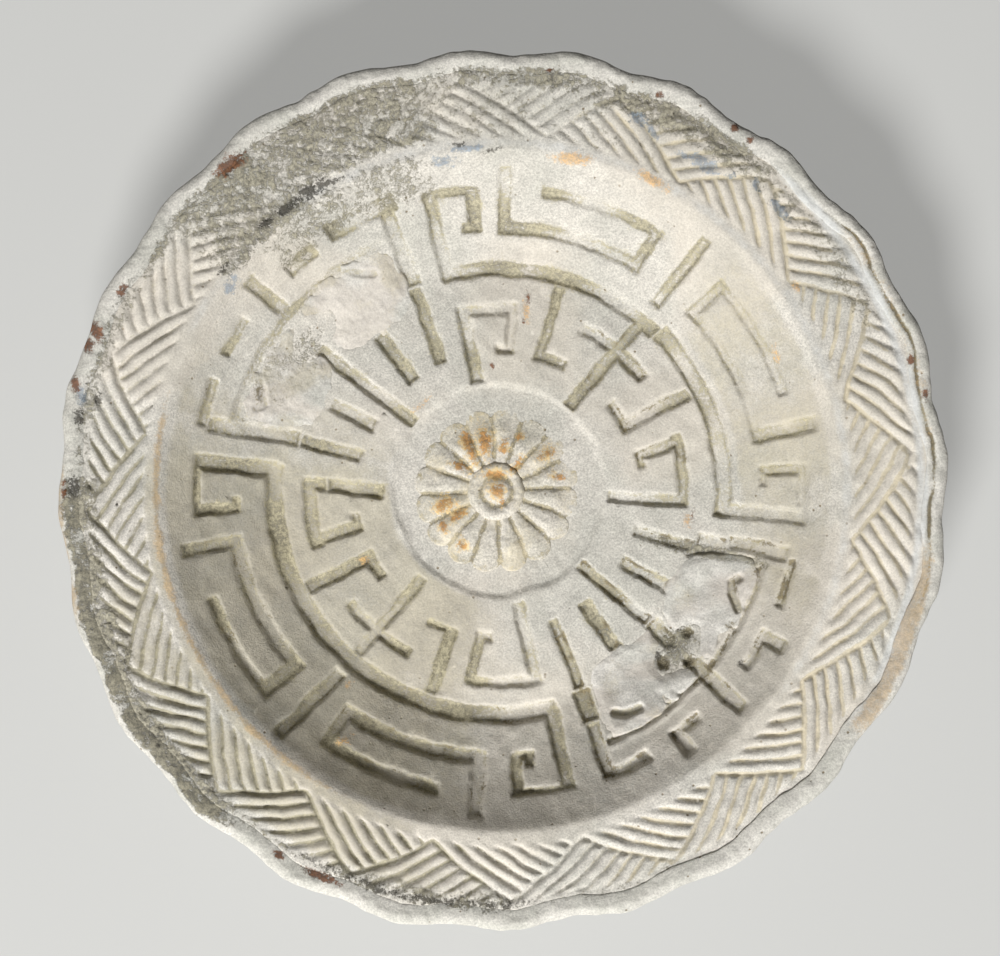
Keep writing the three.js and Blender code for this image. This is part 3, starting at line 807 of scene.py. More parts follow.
def group_with(name, kind, inputs, outputs):
    """An empty node group, the sockets that bring its inputs and those that take its outputs."""
    tree = bpy.data.node_groups.new(name, kind + "NodeTree")
    for side, sockets in (("INPUT", inputs), ("OUTPUT", outputs)):
        for label, holds in sockets.items():
            tree.interface.new_socket(label, in_out=side, socket_type="NodeSocket" + holds)
    brought = tree.nodes.new("NodeGroupInput").outputs
    return tree, brought, tree.nodes.new("NodeGroupOutput").inputs


def linear(colour):
    """A colour as it is seen on a screen, 0 to 255, in the values that shaders use."""
    parts = [c / 255 for c in colour]
    return (*(c / 12.92 if c <= 0.04045 else ((c + 0.055) / 1.055) ** 2.4 for c in parts), 1)


# Unglazed sandy clay: slow clouds between two tones, sand that shows darker and lighter, and some
# dark specks and pits. Height is the sand and the pits as a share of the bump's distance.
sandy, sandy_in, sandy_out = group_with(
    "sandy clay",
    "Shader",
    {"Pale": "Color", "Dull": "Color", "Speckle": "Float", "Cloud size": "Float"},
    {"Colour": "Color", "Height": "Float", "Roughness": "Float"},
)
here = wire(sandy, "ShaderNodeTexCoord").outputs["Object"]
clouds = noise(sandy, here, sandy_in["Cloud size"], 5.0, 0.65)
patches = noise(sandy, here, 430.0, 3.0)
sand = noise(sandy, here, 2600.0, 3.0, 0.75)
pits = wire(sandy, "ShaderNodeTexVoronoi", {"Vector": here, "Scale": 900.0})
clouded = stepped(sandy, clouds, 0.36, 0.66)
toned = laid_over(sandy, clouded, sandy_in["Pale"], sandy_in["Dull"])
contrast = stepped(sandy, sand, 0.3, 0.7, -0.5, 0.5)
contrast = maths(sandy, contrast, sandy_in["Speckle"], "MULTIPLY")
toned = scaled(sandy, toned, maths(sandy, contrast, 1.0))
toned = scaled(sandy, toned, stepped(sandy, patches, 0.3, 0.7, 0.92, 1.06))
chosen = wire(sandy, "ShaderNodeSeparateColor", {0: pits.outputs["Color"]}).outputs[0]
pit_mask = stepped(sandy, pits.outputs["Distance"], 0.28, 0.14)
pit_mask = maths(sandy, pit_mask, stepped(sandy, chosen, 0.965, 0.98), "MULTIPLY")
toned = laid_over(sandy, pit_mask, toned, (0.42, 0.36, 0.28, 1), "MULTIPLY")
grain = maths(sandy, sand, maths(sandy, patches, 0.8, "MULTIPLY"))
grain = maths(sandy, grain, maths(sandy, pit_mask, 0.5, "MULTIPLY"), "SUBTRACT")
sandy.links.new(toned, sandy_out["Colour"])
sandy.links.new(grain, sandy_out["Height"])
sandy.links.new(stepped(sandy, patches, 0.2, 0.8, 0.82, 0.97), sandy_out["Roughness"])

# A layer that clings where its amount says, patchy at one scale and grainy at a finer one; it
# carries dirt and stains, and painted shade and highlights too.
layering_inputs = {
    "Colour": "Color",
    "Height": "Float",
    "Amount": "Float",
    "Layer colour": "Color",
    "Cover": "Float",
    "Patch size": "Float",
    "Patchiness": "Float",
    "Graininess": "Float",
    "Thickness": "Float",
}
deposit, layering_in, layering_out = group_with(
    "clinging deposit", "Shader", layering_inputs, {"Colour": "Color", "Height": "Float"}
)
here = wire(deposit, "ShaderNodeTexCoord").outputs["Object"]
patches = noise(deposit, here, layering_in["Patch size"], 4.0, 0.65)
grains = noise(deposit, here, 1600.0, 4.0, 0.8)
held = layering_in["Amount"]
for texture, share in ((patches, "Patchiness"), (grains, "Graininess")):
    wobble = maths(deposit, texture, 0.5, "SUBTRACT")
    wobble = maths(deposit, wobble, layering_in[share], "MULTIPLY")
    held = maths(deposit, held, wobble)
held = stepped(deposit, held, 0.3, 0.8)
there = stepped(deposit, layering_in["Amount"], 0.02, 0.2)
held = maths(deposit, held, there, "MULTIPLY")
shown = maths(deposit, held, layering_in["Cover"], "MULTIPLY")
mottled = stepped(deposit, grains, 0.36, 0.64, -0.26, 0.26)
mottled = maths(deposit, mottled, layering_in["Graininess"], "MULTIPLY")
blotched = stepped(deposit, patches, 0.36, 0.64, -0.2, 0.2)
blotched = maths(deposit, blotched, layering_in["Patchiness"], "MULTIPLY")
mottled = maths(deposit, maths(deposit, mottled, blotched), 1.0)
layered_colour = scaled(deposit, layering_in["Layer colour"], mottled)
lumps = maths(deposit, held, maths(deposit, grains, patches), "MULTIPLY")
lumps = maths(deposit, lumps, layering_in["Thickness"], "MULTIPLY")
layered_colour = laid_over(deposit, shown, layering_in["Colour"], layered_colour)
deposit.links.new(layered_colour, layering_out["Colour"])
deposit.links.new(maths(deposit, layering_in["Height"], lumps), layering_out["Height"])


def clay_material(name, pale, dull, speckle, cloud_size, layers, relief=0.00012):
    """Unglazed clay and the layers laid over it: dirt and stains, and painted shade and highlights.
    Each layer is the attribute that says where it lies, its colour, cover, size of patches,
    patchiness, graininess and thickness. Colours are as they are seen on a screen, 0 to 255."""
    material = bpy.data.materials.new(name)
    material.use_nodes = True
    tree = material.node_tree
    shader = tree.nodes["Principled BSDF"]
    inputs = {"Pale": linear(pale), "Dull": linear(dull), "Speckle": speckle}
    inputs["Cloud size"] = cloud_size
    base = wire(tree, "ShaderNodeGroup", inputs, node_tree=sandy)
    colour, height = base.outputs["Colour"], base.outputs["Height"]
    for attribute, tint, *looks in layers:
        amount = wire(tree, "ShaderNodeAttribute", attribute_name=attribute).outputs["Fac"]
        inputs = dict(zip(layering_inputs, (colour, height, amount, linear(tint), *looks)))
        layer = wire(tree, "ShaderNodeGroup", inputs, node_tree=deposit)
        colour, height = layer.outputs["Colour"], layer.outputs["Height"]
    bump = wire(tree, "ShaderNodeBump", {"Height": height, "Strength": 1.0, "Distance": relief})
    tree.links.new(colour, shader.inputs["Base Color"])
    tree.links.new(base.outputs["Roughness"], shader.inputs["Roughness"])
    tree.links.new(bump.outputs["Normal"], shader.inputs["Normal"])
    shader.inputs["Specular IOR Level"].default_value = 0.22
    return material


# the groove, dark and soot colours below carry dirt and also painted shade; the white one is a
# painted highlight
GROOVE_DIRT_AND_SHADE = (153, 146, 121)
DARK_DIRT_AND_SHADE = (104, 94, 70)
CREAM = (192, 180, 150)
GREY_GRIME = (140, 135, 118)
DULL = (174, 166, 144)
RUST = (108, 70, 46)
OCHRE = (172, 147, 109)
ORANGE = (206, 160, 92)
BLUE = (102, 120, 138)
SOOT_AND_SHADE = (76, 73, 66)
HIGHLIGHT_WHITE = (210, 212, 211)
dish_clay = clay_material(
    "pressed dish clay", (211, 206, 196), (194, 191, 181), 0.46, 55.0,
    [
        ("warm", (213, 203, 187), 0.4, 70.0, 0.8, 0.3, 0.0),
        ("dull", DULL, 0.6, 90.0, 0.9, 0.5, 0.0),
        ("cream", CREAM, 0.6, 160.0, 0.9, 0.6, 0.0),
        ("sunk", GROOVE_DIRT_AND_SHADE, 0.85, 240.0, 1.3, 1.9, 0.15),
        ("dark", DARK_DIRT_AND_SHADE, 0.8, 420.0, 1.5, 2.2, 0.2),
        # hatched: dirt, and painted shade in the flange's furrows
        ("hatched", (150, 144, 122), 0.85, 240.0, 0.8, 1.2, 0.15),
        # white: painted highlight on slopes that face the lamp
        ("white", HIGHLIGHT_WHITE, 0.6, 200.0, 0.6, 0.2, 0.0),
        ("grime", GREY_GRIME, 0.9, 420.0, 1.4, 2.3, 0.85),
        ("ochre", OCHRE, 0.7, 260.0, 1.3, 1.0, 0.1),
        ("orange", ORANGE, 0.6, 360.0, 1.3, 1.6, 0.0),
        ("blue", BLUE, 0.6, 600.0, 1.5, 2.0, 0.2),
        ("soot", SOOT_AND_SHADE, 0.88, 600.0, 1.8, 2.4, 0.5),
        ("rust", RUST, 0.9, 600.0, 1.7, 1.9, 0.5),
    ],
)  # fmt: skip
coat(dish_body, dish_clay)
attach(dish_body, "root")
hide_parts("dish_body")


# The wings of the two butterflies are four thin pads of finer clay, laid over the pressed fret on
# the turn of the wall and smoothed down with slip. Each has one round inner edge and a scalloped
# outer edge. The right ones are crisper than the left ones.
WING_LIFT = 0.45
WING_RIM = -1.25
WING_BED = 1.9
WING_TRIANGLES = 16000
PAD_COLUMNS = 100
PAD_ROWS = 76
# for each side: width of the edge's slope, depth of the curls, roughness, curls' dirt and painted
# shade, dullness
wing_wear = {"right": (1.5, 1, 0.018, 0.75, 0.2), "left": (2.4, 0.5, 0.035, 0.5, 0.5)}


def pad_solid(name, top, bottom):
    """A closed slab between two sheets of points, counted round the dish and then outwards."""
    columns, rows = top.shape[:2]
    index = np.arange(2 * columns * rows).reshape(2, columns, rows)
    faces = []
    for sheet, order in ((index[0], 1), (index[1], -1)):
        quads = [sheet[:-1, :-1], sheet[:-1, 1:], sheet[1:, 1:], sheet[1:, :-1]][::order]
        faces.append(np.stack(quads, axis=-1).reshape(-1, 4))
    loop = [
        *((i, 0) for i in range(columns)),
        *((columns - 1, j) for j in range(1, rows)),
        *((i, rows - 1) for i in range(columns - 2, -1, -1)),
        *((0, j) for j in range(rows - 2, 0, -1)),
    ]
    sides = []
    for (i, j), (k, m) in zip(loop, loop[1:] + loop[:1]):
        sides.append((index[0, i, j], index[0, k, m], index[1, k, m], index[1, i, j]))
    faces.append(np.array(sides))
    points = np.concatenate([top.reshape(-1, 3), bottom.reshape(-1, 3)])
    return solid(name, points, np.concatenate(faces).tolist())


wing_grime = [*shared_grime, (-40.0, 22.0, 7.0, 6.0, 0, 0.4)]
wing_clay = clay_material(
    "smoothed wing clay", (212, 208, 200), (195, 193, 184), 0.38, 90.0,
    [
        ("warm", (212, 202, 190), 0.5, 90.0, 0.9, 0.4, 0.0),
        ("dull", DULL, 0.5, 140.0, 1.0, 0.8, 0.1),
        ("sunk", GROOVE_DIRT_AND_SHADE, 0.65, 240.0, 1.4, 1.6, 0.2),
        ("dark", DARK_DIRT_AND_SHADE, 0.8, 420.0, 1.5, 2.2, 0.1),
        ("grime", GREY_GRIME, 0.7, 320.0, 1.5, 1.8, 0.5),
        ("blue", BLUE, 0.5, 420.0, 1.2, 1.2, 0.1),
    ],
)  # fmt: skip
for name, outline in wing_outlines.items():
    edge_slope, curl_depth, rough, curl_dirt_and_shade, dullness = wing_wear[name.split("_")[1]]
    corner_turns, corner_radii = zip(*outline)
    pad_turns = np.linspace(min(corner_turns) - 1.6, max(corner_turns) + 1.6, PAD_COLUMNS)
    pad_radii = np.linspace(min(corner_radii) - 1.2, max(corner_radii) + 1.2, PAD_ROWS)
    turn, radius = np.meshgrid(pad_turns, pad_radii, indexing="ij")
    x, y = place_at(turn, radius)
    wander = 0.16 * unevenness(x, y, 21, 2, 7)
    inside = inside_outline(turn, radius, outline) + wander
    under = 1 - ease(inside, -1.0, 0.1)
    lifted = ease(inside, -0.2, edge_slope)
    curl = (1 - ease(near_curl(turn, radius), 0.3, 1.1)) * curl_depth
    swell = 0.12 * unevenness(x, y, 22, 4, 12)
    height = plain_height(radius) + WING_RIM * under + lifted * (WING_LIFT + swell)
    height -= curl * 1.1 * lifted
    height += rough * unevenness(x, y, 23, 1.0, 2.5)
    bottom = from_axis(x, y, plain_height(radius) - WING_BED)
    pad = pad_solid(name + "_pad", from_axis(x, y, height), bottom)
    thin_out(pad, WING_TRIANGLES)
    x, y, z = plan(pad)
    turn, radius = polar(x, y)
    turn = turn % 360
    inside = inside_outline(turn, radius, outline)
    in_curl = (1 - ease(near_curl(turn, radius), 0.4, 1.1)) * curl_dirt_and_shade
    # dirt and painted shade round the pad's edge and in its curls; below, painted shadows in the
    # hollows and curl ends
    mark(pad, "sunk", np.maximum(0.55 - 0.55 * ease(inside, -0.6, 0.7), in_curl))
    mark(pad, "dark", spotted(x, y, wing_shadows))
    flushed = spot(x, y, -25.2, 33.0, 6, 5)
    mark(pad, "dull", dullness + 0.3 * unevenness(x, y, 26, 5, 16) - 0.6 * flushed)
    mark(pad, "warm", 0.5 + 0.4 * unevenness(x, y, 24, 6, 20) + flushed)
    mark(pad, "grime", spotted(x, y, wing_grime))
    mark(pad, "blue", spotted(x, y, blue_spots))
    coat(pad, wing_clay)
    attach(pad, "root")
    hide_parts(name)


# The flower in the middle is pressed in a small mould of its own and stuck on the sunk medallion.
# Its sixteen petals are long drops with nearly flat tops, steep sides and round tips.
PETALS = 16
ROSETTE_TURN = 284.25
ROSETTE_RADIUS = 15.2
PETAL_ROOT_RADIUS = 4.9
PETAL_ROWS = 44
PETAL_COLUMNS = 23
PETAL_VOXEL = 0.2
ROSETTE_SEAT = 9.5
rosette_low, rosette_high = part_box("rosette")
ROSETTE_AXIS = ((rosette_low + rosette_high) / 2 / MM).to_2d()

petal_out = np.linspace(0, 1, PETAL_ROWS)
petal_across = np.linspace(-1, 1, PETAL_COLUMNS)
petal_radius = PETAL_ROOT_RADIUS + petal_out * (ROSETTE_RADIUS - PETAL_ROOT_RADIUS)
half_width = petal_radius * math.tan(math.pi / PETALS) + 0.02
tip = np.clip((petal_out - 0.72) / 0.28, 0, 1)
half_width *= np.sqrt(np.clip(1 - tip**2.4, 0.0004, 1))
crown = 0.95 * (0.6 + 0.4 * ease(petal_out, 0, 0.45)) * (1 - 0.7 * ease(petal_out, 0.6, 1.0))
across, _ = np.meshgrid(petal_across, petal_out)
shoulder = np.clip(1 - np.abs(across) ** 2.3, 0, 1) ** 0.7
petal_top = np.stack(
    [
        np.repeat(petal_radius[:, None], PETAL_COLUMNS, axis=1),
        across * half_width[:, None],
        ROSETTE_SEAT + 0.05 + crown[:, None] * shoulder,
    ],
    axis=-1,
)
petal_bottom = petal_top.copy()
petal_bottom[..., 2] = ROSETTE_SEAT - 0.35
petal = pad_solid("rosette_petals", petal_top.transpose(1, 0, 2), petal_bottom.transpose(1, 0, 2))


def finish_group(tree, shape, clay, result):
    """Ends a geometry group with real faces that carry its clay."""
    real = wire(tree, "GeometryNodeRealizeInstances", {"Geometry": shape}).outputs[0]
    painted = wire(tree, "GeometryNodeSetMaterial", {"Geometry": real, "Material": clay}).outputs[0]
    tree.links.new(painted, result[0])


def grow(piece, tree, values):
    """Turns the piece into the mesh that a geometry group makes of it with these inputs."""
    growth = piece.modifiers.new(tree.name, "NODES")
    growth.node_group = tree
    for socket in tree.interface.items_tree:
        if socket.name in values:
            growth[socket.identifier] = values[socket.name]
    settle(piece)


flower, given, result = group_with(
    "petals round a boss",
    "Geometry",
    {"Geometry": "Geometry", "Petals": "Int", "Turn": "Float", "Clay": "Material"},
    {"Geometry": "Geometry"},
)
places = wire(flower, "GeometryNodePoints", {"Count": given["Petals"]}).outputs[0]
number = wire(flower, "GeometryNodeInputIndex").outputs[0]
facing = maths(flower, math.tau, given["Petals"], "DIVIDE")
facing = maths(flower, maths(flower, number, facing, "MULTIPLY"), given["Turn"])
upright = wire(flower, "ShaderNodeCombineXYZ", {"Z": facing}).outputs[0]
turned = wire(flower, "FunctionNodeEulerToRotation", {0: upright}).outputs[0]
inputs = {"Points": places, "Instance": given["Geometry"], "Rotation": turned}
petals = wire(flower, "GeometryNodeInstanceOnPoints", inputs).outputs[0]
finish_group(flower, petals, given["Clay"], result)

rosette_clay = clay_material(
    "rosette clay", (214, 208, 196), (197, 192, 178), 0.5, 120.0,
    [
        # sunk: dirt, and painted shade in the gaps between the petals
        ("sunk", (144, 135, 110), 0.85, 500.0, 1.8, 2.2, 0.1),
        ("cream", (208, 196, 168), 0.4, 150.0, 1.2, 1.0, 0.0),
        ("ochre", (212, 184, 128), 0.75, 400.0, 1.2, 1.0, 0.0),
        ("rust", (158, 114, 66), 0.8, 700.0, 1.8, 2.2, 0.2),
    ],
)  # fmt: skip
grow(petal, flower, {"Petals": PETALS, "Turn": math.radians(ROSETTE_TURN), "Clay": rosette_clay})
fused = petal.modifiers.new("fused", "REMESH")
fused.mode = "VOXEL"
fused.voxel_size = PETAL_VOXEL * MM
fused.use_smooth_shade = True
eased = petal.modifiers.new("eased", "SMOOTH")
eased.factor = 0.5
eased.iterations = 5
settle(petal)
coat(petal, rosette_clay)

rosette_stains = [
    (-5.2, 8.3, 3.2, 1.1, 118, 1), (-2.3, 9.2, 3.0, 1.2, 100, 1), (1.2, 8.2, 1.6, 0.9, 80, 0.9),
    (4.4, 10.4, 1.2, 0.8, 60, 0.8), (-6.8, 4.6, 2.0, 0.8, 150, 0.9), (-9.6, -2.6, 2.0, 1.3, 20, 1),
    (-7.2, -4.6, 2.0, 0.9, 40, 0.9), (-9.8, -6.6, 1.2, 0.9, 120, 0.9),
    (-6.4, -9.9, 1.2, 1.0, 60, 0.9), (9.6, 7.0, 1.8, 1.1, 35, 0.9), (11.4, 2.8, 1.5, 0.9, 10, 0.7),
    (3.6, 4.8, 2.6, 0.8, 55, 0.8), (-0.4, 2.9, 2.3, 0.9, 0, 1), (0.2, 0.2, 1.5, 1.8, 0, 0.9),
    (1.0, -2.0, 0.6, 0.9, 0, 0.8),
]  # fmt: skip


def place_rosette(piece, seed):
    """Moves a part of the flower to its place, roughens it and stains it."""
    points = points_of(piece)
    x, y = points[:, 0].copy(), points[:, 1].copy()
    points[:, 0] += ROSETTE_AXIS.x + 0.16 * unevenness(x, y, seed, 4, 14)
    points[:, 1] += ROSETTE_AXIS.y + 0.16 * unevenness(x, y, seed + 1, 4, 14)
    # the tips on the upper side came out flat against the medallion
    flat_tip = ease(np.hypot(x, y), 9, 14.6) * (0.3 + 0.7 * ease(x + 2 * y, -12, 14))
    over = np.maximum(points[:, 2] - ROSETTE_SEAT + 0.17, 0)
    points[:, 2] -= over * 0.92 * flat_tip
    raised = ease(points[:, 2], ROSETTE_SEAT - 0.2, ROSETTE_SEAT + 0.8)
    points[:, 2] += raised * (
        0.10 * unevenness(x, y, seed + 2, 3, 9) + 0.04 * unevenness(x, y, seed + 3, 0.8, 2)
    )
    move_points(piece, points)
    mark(piece, "rust", 0.85 * spotted(x, y, rosette_stains))
    halos = [
        (at_x, at_y, 1.5 * long, 1.7 * wide, *lean_and_strength)
        for at_x, at_y, long, wide, *lean_and_strength in rosette_stains
    ]
    mark(piece, "ochre", 0.8 * spotted(x, y, halos))
    mark(piece, "cream", 0.5 + 0.3 * unevenness(x, y, seed + 4, 6, 20))
    return x, y


x, y = place_rosette(petal, 31)
# the gaps between the petals are darkened with dirt and painted shade; the tips get dirt
half_turn = math.pi / PETALS
share = (np.arctan2(y, x) - math.radians(ROSETTE_TURN)) / half_turn % 2
from_gap = np.abs(share - 1) * half_turn * np.hypot(x, y)
gap = 1 - ease(from_gap, 0.1, 0.85)
by_tips = 0.45 * ease(np.hypot(x, y), 13.2, 14.6)
mark(petal, "sunk", np.maximum(0.85 * gap * ease(14.9 - np.hypot(x, y), -0.6, 0.6), by_tips))
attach(petal, "root")
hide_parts("rosette")


# The middle of the flower is a button of the same clay, stuck on where the petals meet. A ring is
# pressed into it round a smaller boss.
BOSS_COLUMNS = 96
boss_outline = np.array(
    [
        (0.3, 1.36), (0.9, 1.32), (1.6, 1.2), (2.1, 0.98), (2.45, 0.62), (2.75, 0.5), (3.1, 0.55),
        (3.5, 0.8), (4.0, 0.93), (4.4, 0.88), (4.8, 0.68), (5.15, 0.4), (5.4, 0.1), (5.4, -0.6),
        (0.3, -0.6),
    ]
)  # fmt: skip


def thrown(outline, columns):
    """The rings that an outline of radii and heights makes round an axis."""
    x, y = place_at(np.arange(columns) * 360 / columns, outline[:, :1])
    return x, y, np.repeat(outline[:, 1:], columns, axis=1)


boss_x, boss_y, boss_z = thrown(boss_outline, BOSS_COLUMNS)
boss_rings = np.stack([boss_x, boss_y, boss_z + ROSETTE_SEAT + 0.3], axis=-1)
boss = turned_solid("rosette_boss_clay", boss_rings, caps=True)
subdivide(boss, 2)
x, y = place_rosette(boss, 41)
ring = np.exp(-(((np.hypot(x, y) - 2.8) / 0.5) ** 2))
mark(boss, "sunk", ring)
coat(boss, rosette_clay)
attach(boss, "root")
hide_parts("rosette_boss")


# The lip is a rolled bead of clay pressed down along the edge of the flange and pinched between
# finger and thumb into twenty-four scallops. It is swept along that wavy line.
LIP_STEPS = 1200
# how far the bead's outline lies outside the rim's circle, and how far above its seat
lip_section = [
    (-3.95, -0.3), (-0.9, -0.4), (-0.4, -0.15), (-0.1, 0.0), (0.0, 0.22), (-0.15, 0.5), (-0.5, 0.78),
    (-1.0, 1.02), (-1.5, 1.12), (-2.0, 1.06), (-2.6, 0.88), (-3.2, 0.68), (-3.65, 0.5), (-4.0, 0.3),
]  # fmt: skip
section = bpy.data.meshes.new("lip_coil_bead")
section.from_pydata(
    [(x * MM, -y * MM, 0) for x, y in lip_section],
    [(i, (i + 1) % len(lip_section)) for i in range(len(lip_section))],
    [],
)
lip = bpy.data.objects.new("lip_coil_bead", section)
put_in_scene(lip)

wave_inputs = {}
for crests, high, shift in EDGE_WAVES:
    wave_inputs[f"Height of {crests} crests"] = high * MM
    wave_inputs[f"Turn of {crests} crests"] = math.radians(shift)
bead, given, result = group_with(
    "pinched bead",
    "Geometry",
    {
        "Section": "Geometry",
        "Radius": "Float",
        "Steps": "Int",
        **{label: "Float" for label in wave_inputs},
        "Clay": "Material",
    },
    {"Geometry": "Geometry"},
)
inputs = {"Resolution": given["Steps"], "Radius": given["Radius"]}
circle = wire(bead, "GeometryNodeCurvePrimitiveCircle", inputs).outputs[0]
position = wire(bead, "GeometryNodeInputPosition").outputs[0]
parts = wire(bead, "ShaderNodeSeparateXYZ", {0: position}).outputs
angle = maths(bead, parts["Y"], parts["X"], "ARCTAN2")
out_by = 0.0
for crests, _, _ in EDGE_WAVES:
    inputs = {0: angle, 1: float(crests), 2: given[f"Turn of {crests} crests"]}
    around = wire(bead, "ShaderNodeMath", inputs, operation="MULTIPLY_ADD").outputs[0]
    wave = wire(bead, "ShaderNodeMath", {0: around}, operation="COSINE").outputs[0]
    inputs = {0: wave, 1: given[f"Height of {crests} crests"], 2: out_by}
    out_by = wire(bead, "ShaderNodeMath", inputs, operation="MULTIPLY_ADD").outputs[0]
outward = wire(bead, "ShaderNodeVectorMath", {0: position}, operation="NORMALIZE").outputs[0]
offset = wire(bead, "ShaderNodeVectorMath", {0: outward, 3: out_by}, operation="SCALE").outputs[0]
wavy = wire(bead, "GeometryNodeSetPosition", {"Geometry": circle, "Offset": offset}).outputs[0]
profile = wire(bead, "GeometryNodeMeshToCurve", {"Mesh": given["Section"]}).outputs[0]
swept = wire(bead, "GeometryNodeCurveToMesh", {"Curve": wavy, "Profile Curve": profile}).outputs[0]
smooth = wire(bead, "GeometryNodeSetShadeSmooth", {"Geometry": swept}).outputs[0]
finish_group(bead, smooth, given["Clay"], result)

lip_clay = clay_material(
    "lip clay", (213, 209, 200), (194, 192, 182), 0.4, 80.0,
    [
        ("sunk", GROOVE_DIRT_AND_SHADE, 0.6, 240.0, 1.4, 1.6, 0.1),
        ("dark", DARK_DIRT_AND_SHADE, 0.85, 300.0, 0.9, 1.4, 0.1),
        # white: painted highlight where the bead faces the lamp
        ("white", HIGHLIGHT_WHITE, 0.6, 200.0, 0.6, 0.2, 0.0),
        ("grime", (126, 121, 104), 0.9, 420.0, 1.4, 1.9, 0.9),
        ("ochre", OCHRE, 0.6, 250.0, 1.2, 1.0, 0.1),
        ("blue", BLUE, 0.6, 420.0, 1.2, 1.2, 0.2),
        ("soot", SOOT_AND_SHADE, 0.88, 600.0, 2.0, 2.4, 0.5),
        ("rust", RUST, 0.9, 600.0, 1.7, 1.9, 0.5),
    ],
)  # fmt: skip
grow(lip, bead, {"Radius": RIM_RADIUS * MM, "Steps": LIP_STEPS, **wave_inputs, "Clay": lip_clay})
subdivide(lip, 1)

x, y, z = points_of(lip).T
turn, out = polar(x, y)
swell = 1 + 0.06 * unevenness(x, y, 51, 5, 18)
z = np.where(z > 0, z * swell, z) + 0.05 * unevenness(x, y, 52, 1.5, 4) * ease(z, 0.4, 1)
# the seam shows on the right, where the bead stands off the channel
seam_at = out - edge_wave(turn) - (RIM_RADIUS - 2.5)
seam_at += 0.12 * unevenness(x, y, 56, 5, 18)
seam_wide = 0.36 + 0.07 * unevenness(x, y, 57, 6, 20)
seam = np.exp(-((seam_at / seam_wide) ** 2)) * within_stretch(turn, 78, -16, 44, 70, 90, 1, 6)
seam *= np.clip(0.95 + 0.3 * unevenness(x, y, 58, 9, 30), 0.55, 1)
z = np.where(z > 0.3, z - 0.55 * seam, z)
x = x + 0.10 * unevenness(x, y, 53, 3, 9)
y = y + 0.10 * unevenness(x, y, 54, 3, 9)
move_points(lip, from_axis(x, y, z + LIP_SEAT))
radius = np.hypot(x, y) - edge_wave(turn)
# painted shade low on the bead, where it meets the flange and underneath; the seam gets dirt
mark(lip, "sunk", np.maximum(0.3 - 0.3 * ease(z, 0.2, 0.7), 0.95 * seam))
mark(lip, "dark", 0.95 * seam)
# painted highlight: whiter on the right, where the bead's inner slope faces the lamp
mark(lip, "white", stretch(x, y, -32, 50, 70.0, 78.0, 0.8, 10))
for name, spots in (("rust", rust_spots), ("soot", soot_and_shade_spots), ("blue", blue_spots)):
    mark(lip, name, spotted(x, y, spots))
crust_edge = RIM_RADIUS - 2.6 + 1.9 * within_stretch(turn, 75, 176, 232, 60, 90, 1, 6)
crust_edge += 0.35 * unevenness(x, y, 55, 2, 9)
inner = 1 - ease(radius, crust_edge - 0.4, crust_edge + 0.4)
mark(lip, "grime", inner * crusted(x, y))
outer_stains = [(325, 353, 76, 80, 0.8, 6), (0, 40, 77, 80, 0.4, 8), (174, 197, 78.4, 81, 0.8, 4)]
mark(lip, "ochre", most(stretch(x, y, *s) for s in outer_stains))
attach(lip, "root")
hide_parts("lip_coil")


# The foot is a low ring of coarser clay under the turn of the wall. The potter wiped it level, and
# its resting face is rubbed pale.
FOOT_COLUMNS = 480
foot_outline = np.array(
    [
        (37.2, 6.4), (37.3, 4.0), (37.5, 1.4), (37.8, 0.5), (38.3, 0.02), (39.0, 0.0), (40.2, 0.0),
        (40.9, 0.06), (41.4, 0.4), (41.7, 1.0), (42.1, 2.4), (42.6, 4.0), (43.2, 6.4), (40.0, 6.6),
    ]
)  # fmt: skip
foot_x, foot_y, foot_z = thrown(foot_outline[::-1], FOOT_COLUMNS)
off_table = ease(foot_z, 0.1, 1.0)
foot_x = foot_x + off_table * 0.08 * unevenness(foot_x, foot_y, 61, 4, 14)
foot_y = foot_y + off_table * 0.08 * unevenness(foot_x, foot_y, 62, 4, 14)
foot = turned_solid("foot_ring_clay", from_axis(foot_x, foot_y, foot_z), caps=False)
subdivide(foot, 1)
x, y, z = plan(foot)
# painted shade at the top of the ring, where it meets the underside of the dish
mark(foot, "sunk", 0.8 * ease(z, 4.2, 6.0))
mark(foot, "cream", ease(z, 0.3, 3.0) * (0.5 + 0.3 * unevenness(x, y, 63, 8, 30)))
foot_clay = clay_material(
    "foot clay", (208, 202, 190), (188, 182, 168), 0.6, 100.0,
    [
        ("sunk", GROOVE_DIRT_AND_SHADE, 0.6, 260.0, 1.2, 1.6, 0.2),
        ("cream", (190, 176, 144), 0.5, 200.0, 1.2, 1.0, 0.0),
    ],
    relief=0.0002,
)  # fmt: skip
coat(foot, foot_clay)
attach(foot, "root")
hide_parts("foot_ring")


# The studio: a plain pale floor, one large soft lamp from the lower left and an even fill.
STUDIO_HALF_WIDTH = 1500.0
corners = np.array([(-1, -1, 0), (1, -1, 0), (1, 1, 0), (-1, 1, 0)]) * STUDIO_HALF_WIDTH
floor = solid("studio_floor", corners, [[0, 1, 2, 3]])
paper = bpy.data.materials.new("pale paper")
paper.use_nodes = True
tree = paper.node_tree
matt = tree.nodes["Principled BSDF"]
matt.inputs["Base Color"].default_value = linear((198, 198, 195))
matt.inputs["Roughness"].default_value = 0.9
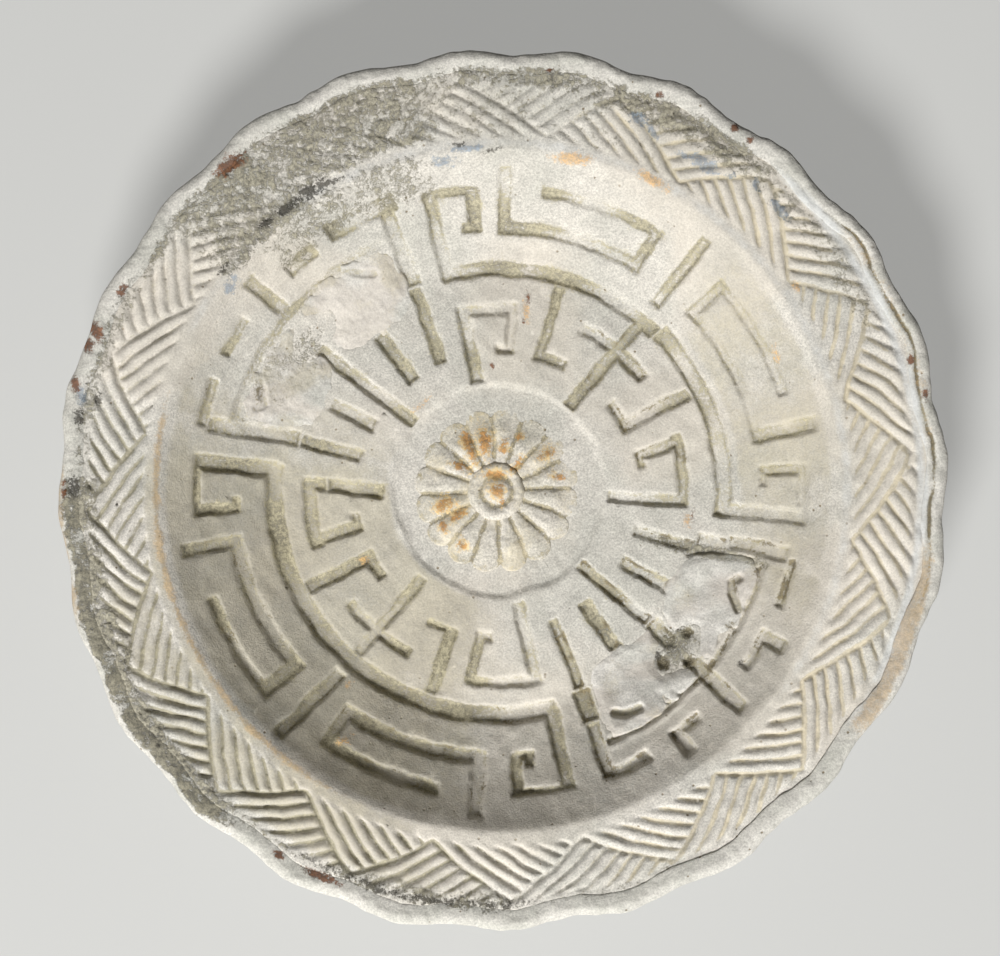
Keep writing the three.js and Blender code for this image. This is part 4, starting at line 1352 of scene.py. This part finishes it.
# where the camera sees it, the paper glows a little, which keeps it evenly pale
ray = wire(tree, "ShaderNodeLightPath").outputs
seen = maths(tree, ray["Is Camera Ray"], ray["Is Glossy Ray"], clamp=True)
seen = maths(tree, seen, ray["Is Transmission Ray"], clamp=True)
glow = wire(tree, "ShaderNodeEmission", {"Color": linear((214, 214, 211))})
inputs = {0: maths(tree, seen, 0.5, "MULTIPLY"), 1: matt.outputs[0], 2: glow.outputs[0]}
lit = wire(tree, "ShaderNodeMixShader", inputs)
tree.links.new(lit.outputs[0], tree.nodes["Material Output"].inputs["Surface"])
floor.data.materials.append(paper)

LAMP_TURN = 252
LAMP_RISE = 45.5
LAMP_AWAY = 1100
LAMP_AIM_HEIGHT = 20
LAMP_WIDTH = 340
LAMP_WATTS = 17.6
lamp_data = bpy.data.lights.new("window lamp", "AREA")
lamp_data.shape = "DISK"
lamp_data.size = LAMP_WIDTH * MM
lamp_data.energy = LAMP_WATTS
lamp = bpy.data.objects.new("window lamp", lamp_data)
rise, turn = math.radians(LAMP_RISE), math.radians(LAMP_TURN)
lamp.location = (
    LAMP_AWAY * MM * math.cos(rise) * math.cos(turn),
    LAMP_AWAY * MM * math.cos(rise) * math.sin(turn),
    LAMP_AWAY * MM * math.sin(rise) + LAMP_AIM_HEIGHT * MM,
)
lamp.rotation_euler = (math.radians(90 - LAMP_RISE), 0, turn + math.pi / 2)
put_in_scene(lamp)

world = bpy.data.worlds.new("even fill")
world.use_nodes = True
world.node_tree.nodes["Background"].inputs["Color"].default_value = (0.98, 0.98, 0.98, 1)
world.node_tree.nodes["Background"].inputs["Strength"].default_value = 0.055
bpy.context.scene.world = world

# The photograph looks straight down from about half a metre above the rim, a little off the axis.
CAMERA_OFF_X = 0.18
CAMERA_OFF_Y = 2.23
CAMERA_HEIGHT = 527
camera_data = bpy.data.cameras.new("camera")
camera_data.lens = 100
camera_data.sensor_width = 36
camera = bpy.data.objects.new("camera", camera_data)
camera.location = (
    (AXIS.x + CAMERA_OFF_X) * MM,
    (AXIS.y + CAMERA_OFF_Y) * MM,
    CAMERA_HEIGHT * MM,
)
put_in_scene(camera)
bpy.context.scene.camera = camera
bpy.context.scene.view_settings.view_transform = "Standard"

bpy.context.view_layer.update()
